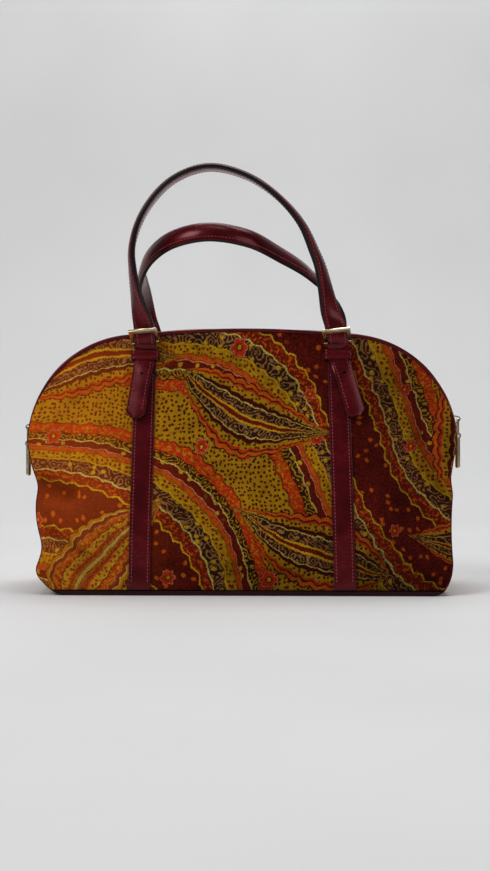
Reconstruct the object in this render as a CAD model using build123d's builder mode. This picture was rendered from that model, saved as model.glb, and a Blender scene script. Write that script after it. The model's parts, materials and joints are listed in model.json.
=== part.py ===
from build123d import *
import math
import os

# A dome-shaped handbag in millimetres: base centre at the origin, +Z up, front towards -Y.

# Dome outline, seen from the front
half_width = 192.0
shoulder_z = 133.0
shoulder_r = 98.0
crown_rise = 5.0
waist_z = 78.0
waist_pinch = 9.0
foot_pinch = 8.0
corner_r = 18.0

# Depth of the body at its base and at its crown
base_half_depth = 75.0
top_half_depth = 38.0

# Walls, base, stiffener and lining
wall = 2.4
base_t = 4.0
board_t = 2.0
board_margin = 4.0
lining_t = 0.8
layer_gap = 0.8
seam_gap = 0.25

# Piping in the seam between each panel and its zip strip
pipe_r = 2.0
pipe_proud = 0.6
pipe_start_deg = 0.5

# Zip: two rows of teeth on tapes, standing slightly open
slit_half = 2.8
tooth_reach = 2.4
tooth_width = 2.2
tooth_height = 2.4
tooth_pitch = 4.0
tape_width = 7.0
tape_t = 1.0

# Zip slider, measured along the zip, across it and out from the bag
slider_length = 13.0
slider_nose = 6.0
slider_half_width = 6.6
slider_plate_t = 1.4
slider_run_gap = 0.4
slider_lip = 0.8
slider_lip_drop = 0.7
slider_post_gap = 0.6
slider_post_length = 5.0
bail_length = 9.0
bail_height = 10.5
bail_wire = 1.2
bail_half_width = 1.0
bail_room = 1.45
slider_rest_deg = {"left": 8.0, "right": 12.0}

# Pull: a flat link through the bail and a round bar hooked on the link
link_length = 17.0
link_width = 8.0
link_wire = 1.7
link_corner_r = 1.4
link_window_r = 0.5
pull_r = 2.3
pull_length = 30.0
eye_r = 3.0
eye_bore_r = 1.5
eye_half_width = 1.5
pull_neck = 2.2
pull_end_chamfer = 1.2

# Straps sewn to the panels, with the turned-over loop that holds the buckle
strap_width = 20.5
strap_t = 2.2
strap_foot_x = 91.0
strap_top_x = 86.0
hinge_z = 223.5
loop_clearance = 0.3
prong_slot_gap = 0.6

# Keeper across each strap and the strap tip tucked under it
keeper_drop = 14.6
keeper_height = 10.0
keeper_wall = 1.4
keeper_gap = 0.3
keeper_edge_r = 1.3
groove_width = 0.8
groove_depth = 0.4
groove_spacing = 4.0
tip_width = 17.0
tip_t = 2.6
tip_tuck = 2.8
tip_length = 46.0
tip_chamfer = 4.5
tip_hole_r = 1.3
tip_hole_drop = 15.0
tip_lean_deg = {"left": 8.0, "right": 16.0}

# Handles: straps that turn a quarter turn between buckle and arch
handle_width = 18.0
handle_t = 3.5
handle_crown = 2.2
handle_rise = 154.5
handle_leg_gap = 0.3
handle_straight = 18.0
handle_bend_r = 45.0
handle_lean_deg = {"front": 0.0, "back": 63.5}
crown_leg_share = 0.1

# Stations along a handle, left leg to right leg: shares of the strap spacing and of the rise
handle_x_shares = (-1.0, -1.0, -1.005, -1.03, -1.07, -1.10, -1.11, -1.07, -0.95, -0.72, -0.36,
                   0.05, 0.41, 0.64, 0.76, 0.82, 0.88, 0.945, 0.99, 1.0, 1.0)
handle_rise_shares = (0.0, 0.09, 0.17, 0.26, 0.34, 0.42, 0.50, 0.64, 0.79, 0.925, 1.0,
                      0.95, 0.81, 0.66, 0.52, 0.43, 0.34, 0.26, 0.17, 0.09, 0.0)
twist_start_share = 0.12
twist_end_share = 0.58

# Shares of the stations where one loft of a handle meets the next
loft_end_shares = (0.0, 0.3, 0.5, 0.7, 1.0)

# Buckle: an open frame on a round bar, with a prong
frame_length = 14.5
frame_bar = 3.0
frame_t = 2.4
frame_corner_r = 1.2
frame_tail = 0.8
frame_side_gap = 0.7
frame_lean_deg = 48.0
bar_r = 1.5
prong_width = 2.8
prong_t = 1.1
prong_bar_gap = 0.1
prong_overhang = 2.4
prong_hole_gap = 0.7

# One overrun serves all cuts
overrun = 5.0

# Values worked out from the sizes above
shoulder_x = half_width - shoulder_r
crown_z = shoulder_z + shoulder_r + crown_rise
crown_r = (shoulder_x ** 2 + (shoulder_r + crown_rise) ** 2 - shoulder_r ** 2) / (2 * crown_rise)
crown_deg = math.degrees(math.asin(shoulder_x / (crown_r - shoulder_r)))
tilt = math.atan((base_half_depth - top_half_depth) / crown_z)
stretch = 1 / math.cos(tilt)
pipe_inset = pipe_r - pipe_proud
channel = pipe_inset + pipe_r + seam_gap
zip_half = slit_half + tooth_reach + tape_width
zip_depth = wall / 2
zip_r = shoulder_r - zip_depth
lining_inset = wall + layer_gap
lining_floor = base_t + board_t + layer_gap
loop_r = bar_r + loop_clearance + strap_t
frame_window = handle_width + 2 * frame_side_gap
frame_width = frame_window + 2 * frame_bar
hinge_v = hinge_z / math.cos(tilt)
prong_bore_r = bar_r + prong_bar_gap
tip_floor = strap_t + keeper_gap
keeper_room = tip_floor + tip_t + keeper_gap
leg_offset = loop_r + handle_leg_gap + handle_t / 2

SIDES = {"front": -1, "back": 1}
HANDS = {"left": -1, "right": 1}


def leaning_plane(side, origin, lean):
    """Plane that faces outwards on one side and tips outwards by the angle lean."""
    return Plane(origin=origin, x_dir=(-side, 0, 0), z_dir=(0, side * math.cos(lean), -math.sin(lean)))


def face_plane(side, depth=0.0):
    """Outer plane of a panel, or one that lies deeper by the given depth."""
    return leaning_plane(side, (0, side * base_half_depth, 0), -tilt).offset(-depth)


def dome_edges(inset, scale=1.0):
    """Draw the closed dome outline, moved inwards by inset and stretched upwards by scale."""
    foot = half_width - foot_pinch
    waist = half_width - waist_pinch - inset
    foot_x = foot - corner_r
    corner = corner_r - inset
    diagonal = corner * math.sqrt(0.5)
    low = inset * scale
    left_low, right_low = (-foot_x, low), (foot_x, low)
    Line(left_low, right_low)
    for hand in (-1, 1):
        ThreePointArc((hand * foot_x, low), (hand * (foot_x + diagonal), (corner_r - diagonal) * scale),
                      (hand * (foot - inset), corner_r * scale))
        ThreePointArc((hand * (foot - inset), corner_r * scale), (hand * waist, waist_z * scale),
                      (hand * (half_width - inset), shoulder_z * scale))
    arch_edges(inset, scale)


def arch_point(hand, radius, degrees, scale=1.0):
    """Point on a shoulder arc, with the angle counted up from the horizontal."""
    angle = math.radians(degrees)
    x = hand * (shoulder_x + radius * math.cos(angle))
    return (x, (shoulder_z + radius * math.sin(angle)) * scale)


def arch_edges(inset, scale=1.0, start=0.0):
    """Draw both shoulder arcs and the crown arc, moved inwards by inset, from a start angle."""
    radius = shoulder_r - inset
    span = 90 - crown_deg
    left, right = arch_point(-1, radius, span, scale), arch_point(1, radius, span, scale)
    for hand in (-1, 1):
        ThreePointArc(arch_point(hand, radius, start, scale),
                      arch_point(hand, radius, (start + span) / 2, scale),
                      arch_point(hand, radius, span, scale))
    ThreePointArc(left, (0, (crown_z - inset) * scale), right)


def arch_band_edges(outer_inset, inner_inset):
    """Draw the band between two insets of the arch, above the shoulder line."""
    arch_edges(outer_inset)
    arch_edges(inner_inset)
    for hand in (-1, 1):
        Line(arch_point(hand, shoulder_r - outer_inset, 0), arch_point(hand, shoulder_r - inner_inset, 0))


def sector_edges(hand, inner, outer, start, end):
    """Draw a ring sector about the shoulder centre of one hand."""
    middle = (start + end) / 2
    for radius in (inner, outer):
        ThreePointArc(arch_point(hand, radius, start), arch_point(hand, radius, middle),
                      arch_point(hand, radius, end))
    for degrees in (start, end):
        Line(arch_point(hand, inner, degrees), arch_point(hand, outer, degrees))


def save(piece, label):
    """Name a finished piece and write it to its own file."""
    piece.label = label
    export_step(piece, f"parts/{label}.step")


os.makedirs("parts", exist_ok=True)

# Front and back panels
panel_foot = (base_t + wall * math.sin(tilt)) * stretch + seam_gap
for name, side in SIDES.items():
    with BuildPart() as panel:
        with BuildSketch(face_plane(side)):
            with BuildLine():
                dome_edges(0, stretch)
            make_face()
            with BuildLine():
                arch_edges(0, stretch)
                Line(arch_point(-1, shoulder_r, 0, stretch), arch_point(1, shoulder_r, 0, stretch))
            make_face(mode=Mode.SUBTRACT)
            with BuildLine():
                arch_edges(channel, stretch)
                Line(arch_point(-1, shoulder_r - channel, 0, stretch),
                     arch_point(1, shoulder_r - channel, 0, stretch))
            make_face()
            Rectangle(2 * half_width, panel_foot, align=(Align.CENTER, Align.MIN), mode=Mode.SUBTRACT)
        extrude(amount=-wall)
    save(panel.part, f"{name}_panel")

# Base panel, the full outline up to its own thickness
with BuildPart() as base_panel:
    with BuildSketch(Plane.XZ):
        with BuildLine():
            dome_edges(0)
        make_face()
        Rectangle(2 * half_width, base_t, align=(Align.CENTER, Align.MIN), mode=Mode.INTERSECT)
    extrude(amount=base_half_depth, both=True)
    for side in SIDES.values():
        split(bisect_by=face_plane(side), keep=Keep.BOTTOM)
save(base_panel.part, "base_panel")

# Stiffening board on the base
with BuildPart() as base_board:
    with BuildSketch(Plane.XY.offset(base_t)):
        Rectangle(2 * (half_width - foot_pinch - corner_r), 2 * (base_half_depth - wall - board_margin))
    extrude(amount=board_t)
save(base_board.part, "base_board")

# Side gussets, from the base up to the ends of the zip
for name, hand in HANDS.items():
    with BuildPart() as gusset:
        with BuildSketch(Plane.XZ):
            with BuildLine():
                dome_edges(0)
            make_face()
            with BuildLine():
                dome_edges(wall)
            make_face(mode=Mode.SUBTRACT)
            with Locations((hand * half_width / 2, base_t)):
                Rectangle(half_width, shoulder_z - base_t, align=(Align.CENTER, Align.MIN),
                          mode=Mode.INTERSECT)
        extrude(amount=base_half_depth, both=True)
        for side in SIDES.values():
            split(bisect_by=face_plane(side, wall), keep=Keep.BOTTOM)
    save(gusset.part, f"{name}_gusset")

# Zip strips, tapes and rows of teeth
tooth_step = math.degrees(tooth_pitch / zip_r)
shoulder_teeth = int((90 - crown_deg) / tooth_step)
crown_step = math.degrees(tooth_pitch / (crown_r - zip_depth))
crown_teeth = int(2 * crown_deg / crown_step)
for name, side in SIDES.items():
    with BuildPart() as zip_strip:
        with BuildSketch(Plane.XZ.offset(-side * zip_half)):
            with BuildLine():
                arch_band_edges(0, wall)
            make_face()
        extrude(amount=-side * base_half_depth)
        split(bisect_by=face_plane(side, channel), keep=Keep.BOTTOM)
    save(zip_strip.part, f"{name}_zip_strip")

    with BuildPart() as zip_tape:
        with BuildSketch(Plane.XZ.offset(-side * (zip_half - tape_width))):
            with BuildLine():
                arch_band_edges(zip_depth - tape_t / 2, zip_depth + tape_t / 2)
            make_face()
        extrude(amount=-side * tape_width)
    save(zip_tape.part, f"{name}_zip_tape")

    with BuildPart() as zip_teeth:
        with BuildSketch(Plane.XZ.offset(-side * slit_half)):
            for hand in HANDS.values():
                for index in range(shoulder_teeth):
                    degrees = (index + 0.5) * tooth_step
                    with Locations(Location(arch_point(hand, zip_r, degrees), hand * (degrees - 90))):
                        Rectangle(tooth_width, tooth_height)
            for index in range(crown_teeth):
                degrees = (index - (crown_teeth - 1) / 2) * crown_step
                crown_angle = math.radians(degrees)
                radius = crown_r - zip_depth
                place = (radius * math.sin(crown_angle), crown_z - crown_r + radius * math.cos(crown_angle))
                with Locations(Location(place, -degrees)):
                    Rectangle(tooth_width, tooth_height)
        extrude(amount=-side * tooth_reach)
    save(zip_teeth.part, f"{name}_zip_teeth")

    with BuildPart() as piping:
        with BuildLine(face_plane(side, pipe_inset)) as seam:
            arch_edges(pipe_inset, stretch, pipe_start_deg)
        with BuildSketch(Plane(origin=seam.wire() @ 0, z_dir=seam.wire() % 0)):
            Circle(pipe_r)
        sweep(path=seam.wire())
    save(piping.part, f"{name}_piping")


def lining_block(inset, floor):
    """Solid that fills the bag inside the given inset and above the given floor."""
    with BuildPart() as block:
        with BuildSketch(Plane.XZ):
            with BuildLine():
                dome_edges(inset)
            make_face()
        extrude(amount=base_half_depth, both=True)
        for side in SIDES.values():
            split(bisect_by=face_plane(side, inset), keep=Keep.BOTTOM)
        split(bisect_by=Plane.XY.offset(floor), keep=Keep.TOP)
    return block.part


# Lining, open under the zip
lining_outside = lining_block(lining_inset, lining_floor)
lining_inside = lining_block(lining_inset + lining_t, lining_floor + lining_t)
with BuildPart() as lining:
    add(lining_outside)
    add(lining_inside, mode=Mode.SUBTRACT)
    with BuildSketch(Plane.XY.offset(shoulder_z)):
        Rectangle(2 * half_width, 2 * zip_half)
    extrude(amount=crown_z, mode=Mode.SUBTRACT)
save(lining.part, "lining")

# Straps, keepers and strap tips on both panels
keeper_v = hinge_v - keeper_drop
keeper_share = (keeper_v - panel_foot) / (hinge_v - panel_foot)
keeper_window = strap_width + 2 * keeper_gap
keeper_width = keeper_window + 2 * keeper_wall
keeper_outside = keeper_room + keeper_wall
loop_half_width = frame_window / 2 - frame_side_gap
prong_slot = prong_width / 2 + prong_slot_gap
for name, side in SIDES.items():
    face = face_plane(side)
    along_face = Axis((0, 0, 0), face.y_dir)
    out_of_face = Axis((0, 0, 0), face.z_dir)
    for hand_name, hand in HANDS.items():
        foot_x = -side * hand * strap_foot_x
        top_x = -side * hand * strap_top_x
        keeper_x = foot_x + (top_x - foot_x) * keeper_share
        loop_plane = Plane(origin=face.from_local_coords((top_x, hinge_v, loop_r)),
                           x_dir=face.y_dir, z_dir=face.x_dir)
        with BuildPart() as strap:
            with BuildSketch(face):
                with BuildLine():
                    Polyline((foot_x - strap_width / 2, panel_foot), (foot_x + strap_width / 2, panel_foot),
                             (top_x + strap_width / 2, hinge_v), (top_x - strap_width / 2, hinge_v),
                             close=True)
                make_face()
            extrude(amount=strap_t)
            with BuildSketch(loop_plane):
                Circle(loop_r)
            extrude(amount=loop_half_width, both=True)
            with BuildSketch(loop_plane):
                Circle(bar_r + loop_clearance)
            extrude(amount=strap_width, both=True, mode=Mode.SUBTRACT)
            with BuildSketch(loop_plane):
                Circle(loop_r + loop_clearance)
            extrude(amount=prong_slot, both=True, mode=Mode.SUBTRACT)
        save(strap.part, f"{name}_{hand_name}_strap")

        with BuildPart() as keeper:
            with BuildSketch(face):
                with Locations((keeper_x, keeper_v)):
                    Rectangle(keeper_width, keeper_height)
            extrude(amount=keeper_outside)
            with BuildSketch(face):
                with Locations((keeper_x, keeper_v)):
                    Rectangle(keeper_window, keeper_height + overrun)
            extrude(amount=keeper_room, mode=Mode.SUBTRACT)
            fillet(keeper.edges().filter_by(along_face).sort_by(out_of_face)[-2:], radius=keeper_edge_r)
            with BuildSketch(face.offset(keeper_outside)):
                with Locations((keeper_x, keeper_v)):
                    with GridLocations(0, groove_spacing, 1, 2):
                        Rectangle(keeper_width, groove_width)
            extrude(amount=-groove_depth, mode=Mode.SUBTRACT)
        save(keeper.part, f"{name}_{hand_name}_keeper")

        tip_lean = math.radians(-side * hand * tip_lean_deg[hand_name])
        tip_plane = Plane(origin=face.from_local_coords((keeper_x, keeper_v, tip_floor)), z_dir=face.z_dir,
                          x_dir=face.x_dir * math.cos(tip_lean) + face.y_dir * math.sin(tip_lean))
        with BuildPart() as tip:
            with BuildSketch(tip_plane):
                with Locations((0, (tip_tuck - tip_length) / 2)):
                    Rectangle(tip_width, tip_tuck + tip_length)
                chamfer(vertices().group_by(Axis.Y)[0], length=tip_chamfer)
                with Locations((0, -tip_hole_drop)):
                    Circle(tip_hole_r, mode=Mode.SUBTRACT)
            extrude(amount=tip_t)
        save(tip.part, f"{name}_{hand_name}_handle_tip")


def rise_place(rise, lean):
    """How far a handle has leaned and climbed after a given rise, and its slope there."""
    bend_end = handle_straight + handle_bend_r * lean
    if rise <= handle_straight:
        return 0.0, rise, 0.0
    if rise < bend_end:
        slope = (rise - handle_straight) / handle_bend_r
        leaned = handle_bend_r * (1 - math.cos(slope))
        return leaned, handle_straight + handle_bend_r * math.sin(slope), slope
    beyond = rise - bend_end
    leaned = handle_bend_r * (1 - math.cos(lean)) + beyond * math.sin(lean)
    climbed = handle_straight + handle_bend_r * math.sin(lean) + beyond * math.cos(lean)
    return leaned, climbed, lean


def hinge_point(side, hand):
    """Middle of a buckle's round bar."""
    return face_plane(side).from_local_coords((-side * hand * strap_top_x, hinge_v, loop_r))


def station_plane(side, lean, index):
    """Plane across a handle at one of its stations, with the twist share reached there."""
    xs = [share * strap_top_x for share in handle_x_shares]
    rises = [share * handle_rise for share in handle_rise_shares]
    last = len(xs) - 1
    step_x = 0.0 if index in (0, last) else xs[index + 1] - xs[index - 1]
    step_rise = rises[min(index + 1, last)] - rises[max(index - 1, 0)]
    leaned, climbed, slope = rise_place(rises[index], lean)
    up = Vector(0, -side * math.sin(slope), math.cos(slope))
    outer = Vector(0, side * math.cos(slope), math.sin(slope))
    along = (Vector(1, 0, 0) * step_x + up * step_rise).normalized()
    arch_out = (up * step_x - Vector(1, 0, 0) * step_rise).normalized()
    reach = (handle_rise_shares[index] - twist_start_share) / (twist_end_share - twist_start_share)
    reach = min(max(reach, 0.0), 1.0)
    twist = reach * reach * (3 - 2 * reach)
    quarter = math.radians(90 * twist)
    normal = outer * math.cos(quarter) + arch_out * math.sin(quarter)
    hinge = hinge_point(side, 1)
    place = Vector(xs[index], hinge.Y + side * (leg_offset - leaned), hinge.Z + climbed)
    return Plane(origin=place, x_dir=normal.cross(along), z_dir=along), twist


# Handles, each lofted in four lengths, with their buckles and prongs
last_station = len(handle_x_shares) - 1
loft_ends = [round(share * last_station) for share in loft_end_shares]
prong_mid = prong_bore_r + prong_t / 2
prong_hole_r = prong_width / 2 + prong_hole_gap
for name, side in SIDES.items():
    lean = math.radians(handle_lean_deg[name])
    with BuildPart() as handle:
        for first, last in zip(loft_ends, loft_ends[1:]):
            for index in range(first, last + 1):
                station, twist = station_plane(side, lean, index)
                crown = handle_crown * (crown_leg_share + (1 - crown_leg_share) * twist)
                with BuildSketch(station):
                    with BuildLine():
                        Polyline((-handle_width / 2, handle_t / 2), (-handle_width / 2, -handle_t / 2),
                                 (handle_width / 2, -handle_t / 2), (handle_width / 2, handle_t / 2))
                        ThreePointArc((handle_width / 2, handle_t / 2), (0, handle_t / 2 + crown),
                                      (-handle_width / 2, handle_t / 2))
                    make_face()
            loft()
        for hand in HANDS.values():
            frame_plane = leaning_plane(side, hinge_point(side, hand), math.radians(frame_lean_deg))
            with BuildSketch(Plane(origin=frame_plane.from_local_coords((0, 0, prong_mid)),
                                   x_dir=frame_plane.x_dir, z_dir=frame_plane.y_dir)):
                Circle(prong_hole_r)
            extrude(amount=frame_length, mode=Mode.SUBTRACT)
    save(handle.part, f"{name}_handle")

    for hand_name, hand in HANDS.items():
        frame_plane = leaning_plane(side, hinge_point(side, hand), math.radians(frame_lean_deg))
        with BuildPart() as buckle:
            with BuildSketch(frame_plane):
                with Locations((0, (frame_length + frame_bar / 2 - frame_tail) / 2)):
                    RectangleRounded(frame_width, frame_length + frame_bar / 2 + frame_tail, frame_corner_r)
                with Locations((0, frame_length - frame_bar / 2)):
                    Rectangle(frame_window, frame_length + overrun, align=(Align.CENTER, Align.MAX),
                              mode=Mode.SUBTRACT)
            extrude(amount=frame_t / 2, both=True)
            with BuildSketch(Plane(origin=frame_plane.origin, x_dir=frame_plane.y_dir,
                                   z_dir=frame_plane.x_dir)):
                Circle(bar_r)
            extrude(amount=frame_width / 2, both=True)
        save(buckle.part, f"{name}_{hand_name}_buckle")

        with BuildPart() as prong:
            with BuildSketch(Plane(origin=frame_plane.origin, x_dir=frame_plane.y_dir,
                                   z_dir=frame_plane.x_dir)):
                prong_rest = frame_t / 2 + prong_bar_gap
                Circle(prong_bore_r + prong_t)
                with BuildLine():
                    Polyline((0, prong_bore_r), (0, prong_bore_r + prong_t),
                             (frame_length + prong_overhang, prong_rest + prong_t),
                             (frame_length + prong_overhang, prong_rest), close=True)
                make_face()
                Circle(prong_bore_r, mode=Mode.SUBTRACT)
            extrude(amount=prong_width / 2, both=True)
        save(prong.part, f"{name}_{hand_name}_prong")

# Zip sliders, their links and pulls
plate_low = zip_r + tooth_height / 2 + slider_run_gap
plate_high = plate_low + slider_plate_t
keel_high = zip_r - tooth_height / 2 - slider_run_gap
half_turn = math.degrees(slider_length / 2 / zip_r)
post_turn = math.degrees(slider_post_length / 2 / zip_r)
bail_r = plate_high - slider_plate_t / 2
link_r = bail_r + bail_height - bail_wire - bail_room
for hand_name, hand in HANDS.items():
    rest = slider_rest_deg[hand_name]
    rest_angle = math.radians(rest)
    outwards = Vector(hand * math.cos(rest_angle), 0, math.sin(rest_angle))
    upwards = Vector(-hand * math.sin(rest_angle), 0, math.cos(rest_angle))
    centre = Vector(hand * shoulder_x, 0, shoulder_z)
    with BuildPart() as slider:
        for inner, outer in ((plate_low, plate_high), (keel_high - slider_plate_t, keel_high)):
            with BuildSketch(Plane.XZ):
                with BuildLine():
                    sector_edges(hand, inner, outer, rest - half_turn, rest + half_turn)
                make_face()
            extrude(amount=slider_half_width, both=True)
        for side in SIDES.values():
            for inner, outer in ((plate_low - slider_lip_drop, plate_low),
                                 (keel_high, keel_high + slider_lip_drop)):
                with BuildSketch(Plane.XZ.offset(-side * slider_half_width)):
                    with BuildLine():
                        sector_edges(hand, inner, outer, rest - half_turn, rest + half_turn)
                    make_face()
                extrude(amount=side * slider_lip)
        with BuildSketch(Plane(origin=centre + outwards * zip_r, x_dir=upwards, z_dir=outwards)):
            with BuildLine():
                Polyline((-slider_length / 2, -slider_nose), (-slider_length / 2, slider_nose),
                         (0, slider_half_width), (slider_length / 2, slider_nose),
                         (slider_length / 2, -slider_nose), (0, -slider_half_width), close=True)
            make_face()
        extrude(amount=zip_r / 2, both=True, mode=Mode.INTERSECT)
        with BuildSketch(Plane.XZ):
            with BuildLine():
                sector_edges(hand, keel_high - slider_plate_t, plate_high,
                             rest - post_turn, rest + post_turn)
            make_face()
        extrude(amount=slit_half - slider_post_gap, both=True)
        with BuildSketch(Plane(origin=centre + outwards * bail_r, x_dir=upwards,
                               z_dir=upwards.cross(outwards))):
            Ellipse(bail_length / 2, bail_height)
            Ellipse(bail_length / 2 - bail_wire, bail_height - bail_wire, mode=Mode.SUBTRACT)
            Rectangle(bail_length, bail_height, align=(Align.CENTER, Align.MAX), mode=Mode.SUBTRACT)
        extrude(amount=bail_half_width, both=True)
    save(slider.part, f"{hand_name}_slider")

    link_top = centre + outwards * link_r
    link_plane = Plane(origin=link_top, x_dir=(0, 1, 0), z_dir=(1, 0, 0))
    with BuildPart() as link:
        with BuildSketch(link_plane):
            with Locations((0, (link_wire - link_length) / 2)):
                RectangleRounded(link_width, link_length, link_corner_r)
                RectangleRounded(link_width - 2 * link_wire, link_length - 2 * link_wire, link_window_r,
                                 mode=Mode.SUBTRACT)
        extrude(amount=link_wire / 2, both=True)
    save(link.part, f"{hand_name}_pull_link")

    link_drop = Vector(0, 0, link_length - link_wire)
    eye_plane = Plane(origin=link_top - link_drop, x_dir=(1, 0, 0), z_dir=(0, -1, 0))
    bar_plane = Plane(origin=eye_plane.origin - Vector(0, 0, pull_neck))
    with BuildPart() as pull:
        with BuildSketch(eye_plane):
            Circle(eye_r)
            Circle(eye_bore_r, mode=Mode.SUBTRACT)
        extrude(amount=eye_half_width, both=True)
        with BuildSketch(bar_plane):
            Circle(pull_r)
        extrude(amount=pull_neck - pull_length)
        chamfer(pull.edges().sort_by(Axis.Z)[0], length=pull_end_chamfer)
    save(pull.part, f"{hand_name}_pull")
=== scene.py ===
"""Looks of a dome-shaped velvet handbag with buckled leather handles.

Lengths are in metres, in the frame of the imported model: base centre at the origin, +Z up, front towards -Y.
"""
from __future__ import annotations

import json
import logging
import math
from dataclasses import dataclass
from enum import Enum
from typing import Callable, Sequence

import bpy
import numpy as np
from mathutils import Matrix, Vector

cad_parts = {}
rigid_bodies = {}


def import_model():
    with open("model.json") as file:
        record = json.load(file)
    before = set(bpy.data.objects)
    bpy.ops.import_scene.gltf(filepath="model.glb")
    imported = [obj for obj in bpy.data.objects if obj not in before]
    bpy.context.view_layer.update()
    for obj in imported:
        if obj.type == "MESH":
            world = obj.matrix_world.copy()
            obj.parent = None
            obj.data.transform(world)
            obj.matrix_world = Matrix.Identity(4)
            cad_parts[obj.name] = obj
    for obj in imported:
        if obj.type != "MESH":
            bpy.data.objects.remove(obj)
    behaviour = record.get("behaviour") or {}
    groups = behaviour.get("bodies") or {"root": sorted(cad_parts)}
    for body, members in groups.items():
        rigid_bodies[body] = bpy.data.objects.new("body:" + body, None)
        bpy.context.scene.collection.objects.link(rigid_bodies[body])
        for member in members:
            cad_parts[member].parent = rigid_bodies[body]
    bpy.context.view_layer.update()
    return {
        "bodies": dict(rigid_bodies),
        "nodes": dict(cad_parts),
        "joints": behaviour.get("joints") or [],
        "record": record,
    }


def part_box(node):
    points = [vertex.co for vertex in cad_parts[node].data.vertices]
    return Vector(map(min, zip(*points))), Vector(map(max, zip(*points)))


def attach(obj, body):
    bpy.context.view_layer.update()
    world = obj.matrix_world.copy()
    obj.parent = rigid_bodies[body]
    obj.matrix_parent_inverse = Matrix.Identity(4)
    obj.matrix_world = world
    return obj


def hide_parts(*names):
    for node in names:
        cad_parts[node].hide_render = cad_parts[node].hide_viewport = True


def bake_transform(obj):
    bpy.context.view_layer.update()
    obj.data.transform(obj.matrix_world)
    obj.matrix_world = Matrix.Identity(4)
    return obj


Piece = bpy.types.Object
Socket = bpy.types.NodeSocket

LOG = logging.getLogger("handbag")
PRINT_UV = "print"
STRAP_UV = "along"
# Attribute of the fold heights on each panel, which the velvet turns into painted shade in the creases and
# painted light on the ridges
FOLD_PAINTED_SHADE = "fold"
# Screen colours turn linear by a straight part below a knee and a power curve above it
SRGB_KNEE = 0.04045
SRGB_SLOPE = 12.92
SRGB_OFFSET = 0.055
SRGB_POWER = 2.4
# Points closer than this count as one
TOUCH = 1e-6
# Corners sharper than this get a rounded rim
RIM_ANGLE_DEG = 50.0


class Side(Enum):
    """Side of the bag, with the sign of its Y direction."""

    FRONT = -1
    BACK = 1

    @property
    def word(self) -> str:
        """Lower-case name of the side, as in the node names."""
        return self.name.lower()


class Hand(Enum):
    """Hand of the bag seen from the front, with the sign of its X direction."""

    LEFT = -1
    RIGHT = 1

    @property
    def word(self) -> str:
        """Lower-case name of the hand, as in the node names."""
        return self.name.lower()


def srgb(red: int, green: int, blue: int) -> tuple[float, float, float, float]:
    """Turn a screen colour into the linear colour that shaders read.

    Args:
        red, green, blue: Screen values from 0 to 255.

    Returns:
        Linear red, green and blue with full alpha.
    """
    def linear(value: int) -> float:
        """Linear value of one channel."""
        share = value / 255
        curved = ((share + SRGB_OFFSET) / (1 + SRGB_OFFSET)) ** SRGB_POWER
        return share / SRGB_SLOPE if share <= SRGB_KNEE else curved

    return linear(red), linear(green), linear(blue), 1.0


def smooth(value: np.ndarray | float, low: float, high: float) -> np.ndarray | float:
    """Ease a value from 0 at low to 1 at high."""
    share = np.clip((value - low) / (high - low), 0.0, 1.0)
    return share * share * (3 - 2 * share)


def unit(vectors: np.ndarray) -> np.ndarray:
    """Directions of vectors, each of length one."""
    return vectors / np.linalg.norm(vectors, axis=1)[:, None]


def run_along(line: np.ndarray) -> np.ndarray:
    """Distance of each point of a line from its start, measured along the line."""
    steps = np.linalg.norm(np.diff(line, axis=0), axis=1)
    return np.concatenate([[0.0], np.cumsum(steps)])


def resample(points: Sequence[Sequence[float]], shares: int | np.ndarray) -> np.ndarray:
    """Spread points along a line of points.

    Args:
        points: Points of the line, in order.
        shares: Number of evenly spaced points, or their shares of the line's length.

    Returns:
        Array of points.
    """
    line = np.asarray(points, float)
    length = run_along(line[:, :3])
    wanted = (np.linspace(0.0, 1.0, shares) if isinstance(shares, int) else shares) * length[-1]
    return np.stack([np.interp(wanted, length, line[:, axis]) for axis in range(line.shape[1])], axis=1)


def gathered(count: int) -> np.ndarray:
    """Shares from 0 to 1 that lie closer together near both ends."""
    even_share, eased_share = 0.45, 0.55
    even = np.linspace(0.0, 1.0, count)
    return even_share * even + eased_share * (0.5 - 0.5 * np.cos(math.pi * even))


def bell(value: np.ndarray, middle: float | np.ndarray, reach: float | np.ndarray) -> np.ndarray:
    """Bump of height one about a middle, which fades over its reach."""
    return np.exp(-((value - middle) / reach) ** 2)


def curve_through(points: Sequence[Sequence[float]], per_span: int) -> np.ndarray:
    """Draw a smooth line through control points.

    Args:
        points: Control points, in order.
        per_span: Number of points on each span.

    Returns:
        Array of points on a cubic through the controls, whose pull follows the length of each span.
    """
    line = np.asarray(points, float)
    steps = np.linalg.norm(np.diff(line[:, :3], axis=0), axis=1)[:, None]
    slopes = np.diff(line, axis=0) / steps
    inner = (slopes[:-1] * steps[1:] + slopes[1:] * steps[:-1]) / (steps[:-1] + steps[1:])
    pulls = np.vstack([slopes[:1], inner, slopes[-1:]])
    share = np.linspace(0.0, 1.0, per_span, endpoint=False)[:, None]
    square, cube = share ** 2, share ** 3
    spans = []
    for start, end, pull_in, pull_out, step in zip(line, line[1:], pulls, pulls[1:], steps):
        spans.append((2 * cube - 3 * square + 1) * start + (cube - 2 * square + share) * pull_in * step
                     + (3 * square - 2 * cube) * end + (cube - square) * pull_out * step)
    return np.vstack([*spans, line[-1:]])


def deselect() -> None:
    """Leave object mode with nothing selected."""
    if bpy.context.mode != "OBJECT":
        bpy.ops.object.mode_set(mode="OBJECT")
    bpy.ops.object.select_all(action="DESELECT")


def pick(piece: Piece) -> None:
    """Leave object mode with one piece selected and active."""
    deselect()
    piece.select_set(True)
    bpy.context.view_layer.objects.active = piece


def apply_modifiers(piece: Piece) -> None:
    """Apply every modifier of a piece, in order."""
    pick(piece)
    for modifier in list(piece.modifiers):
        bpy.ops.object.modifier_apply(modifier=modifier.name)


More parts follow.
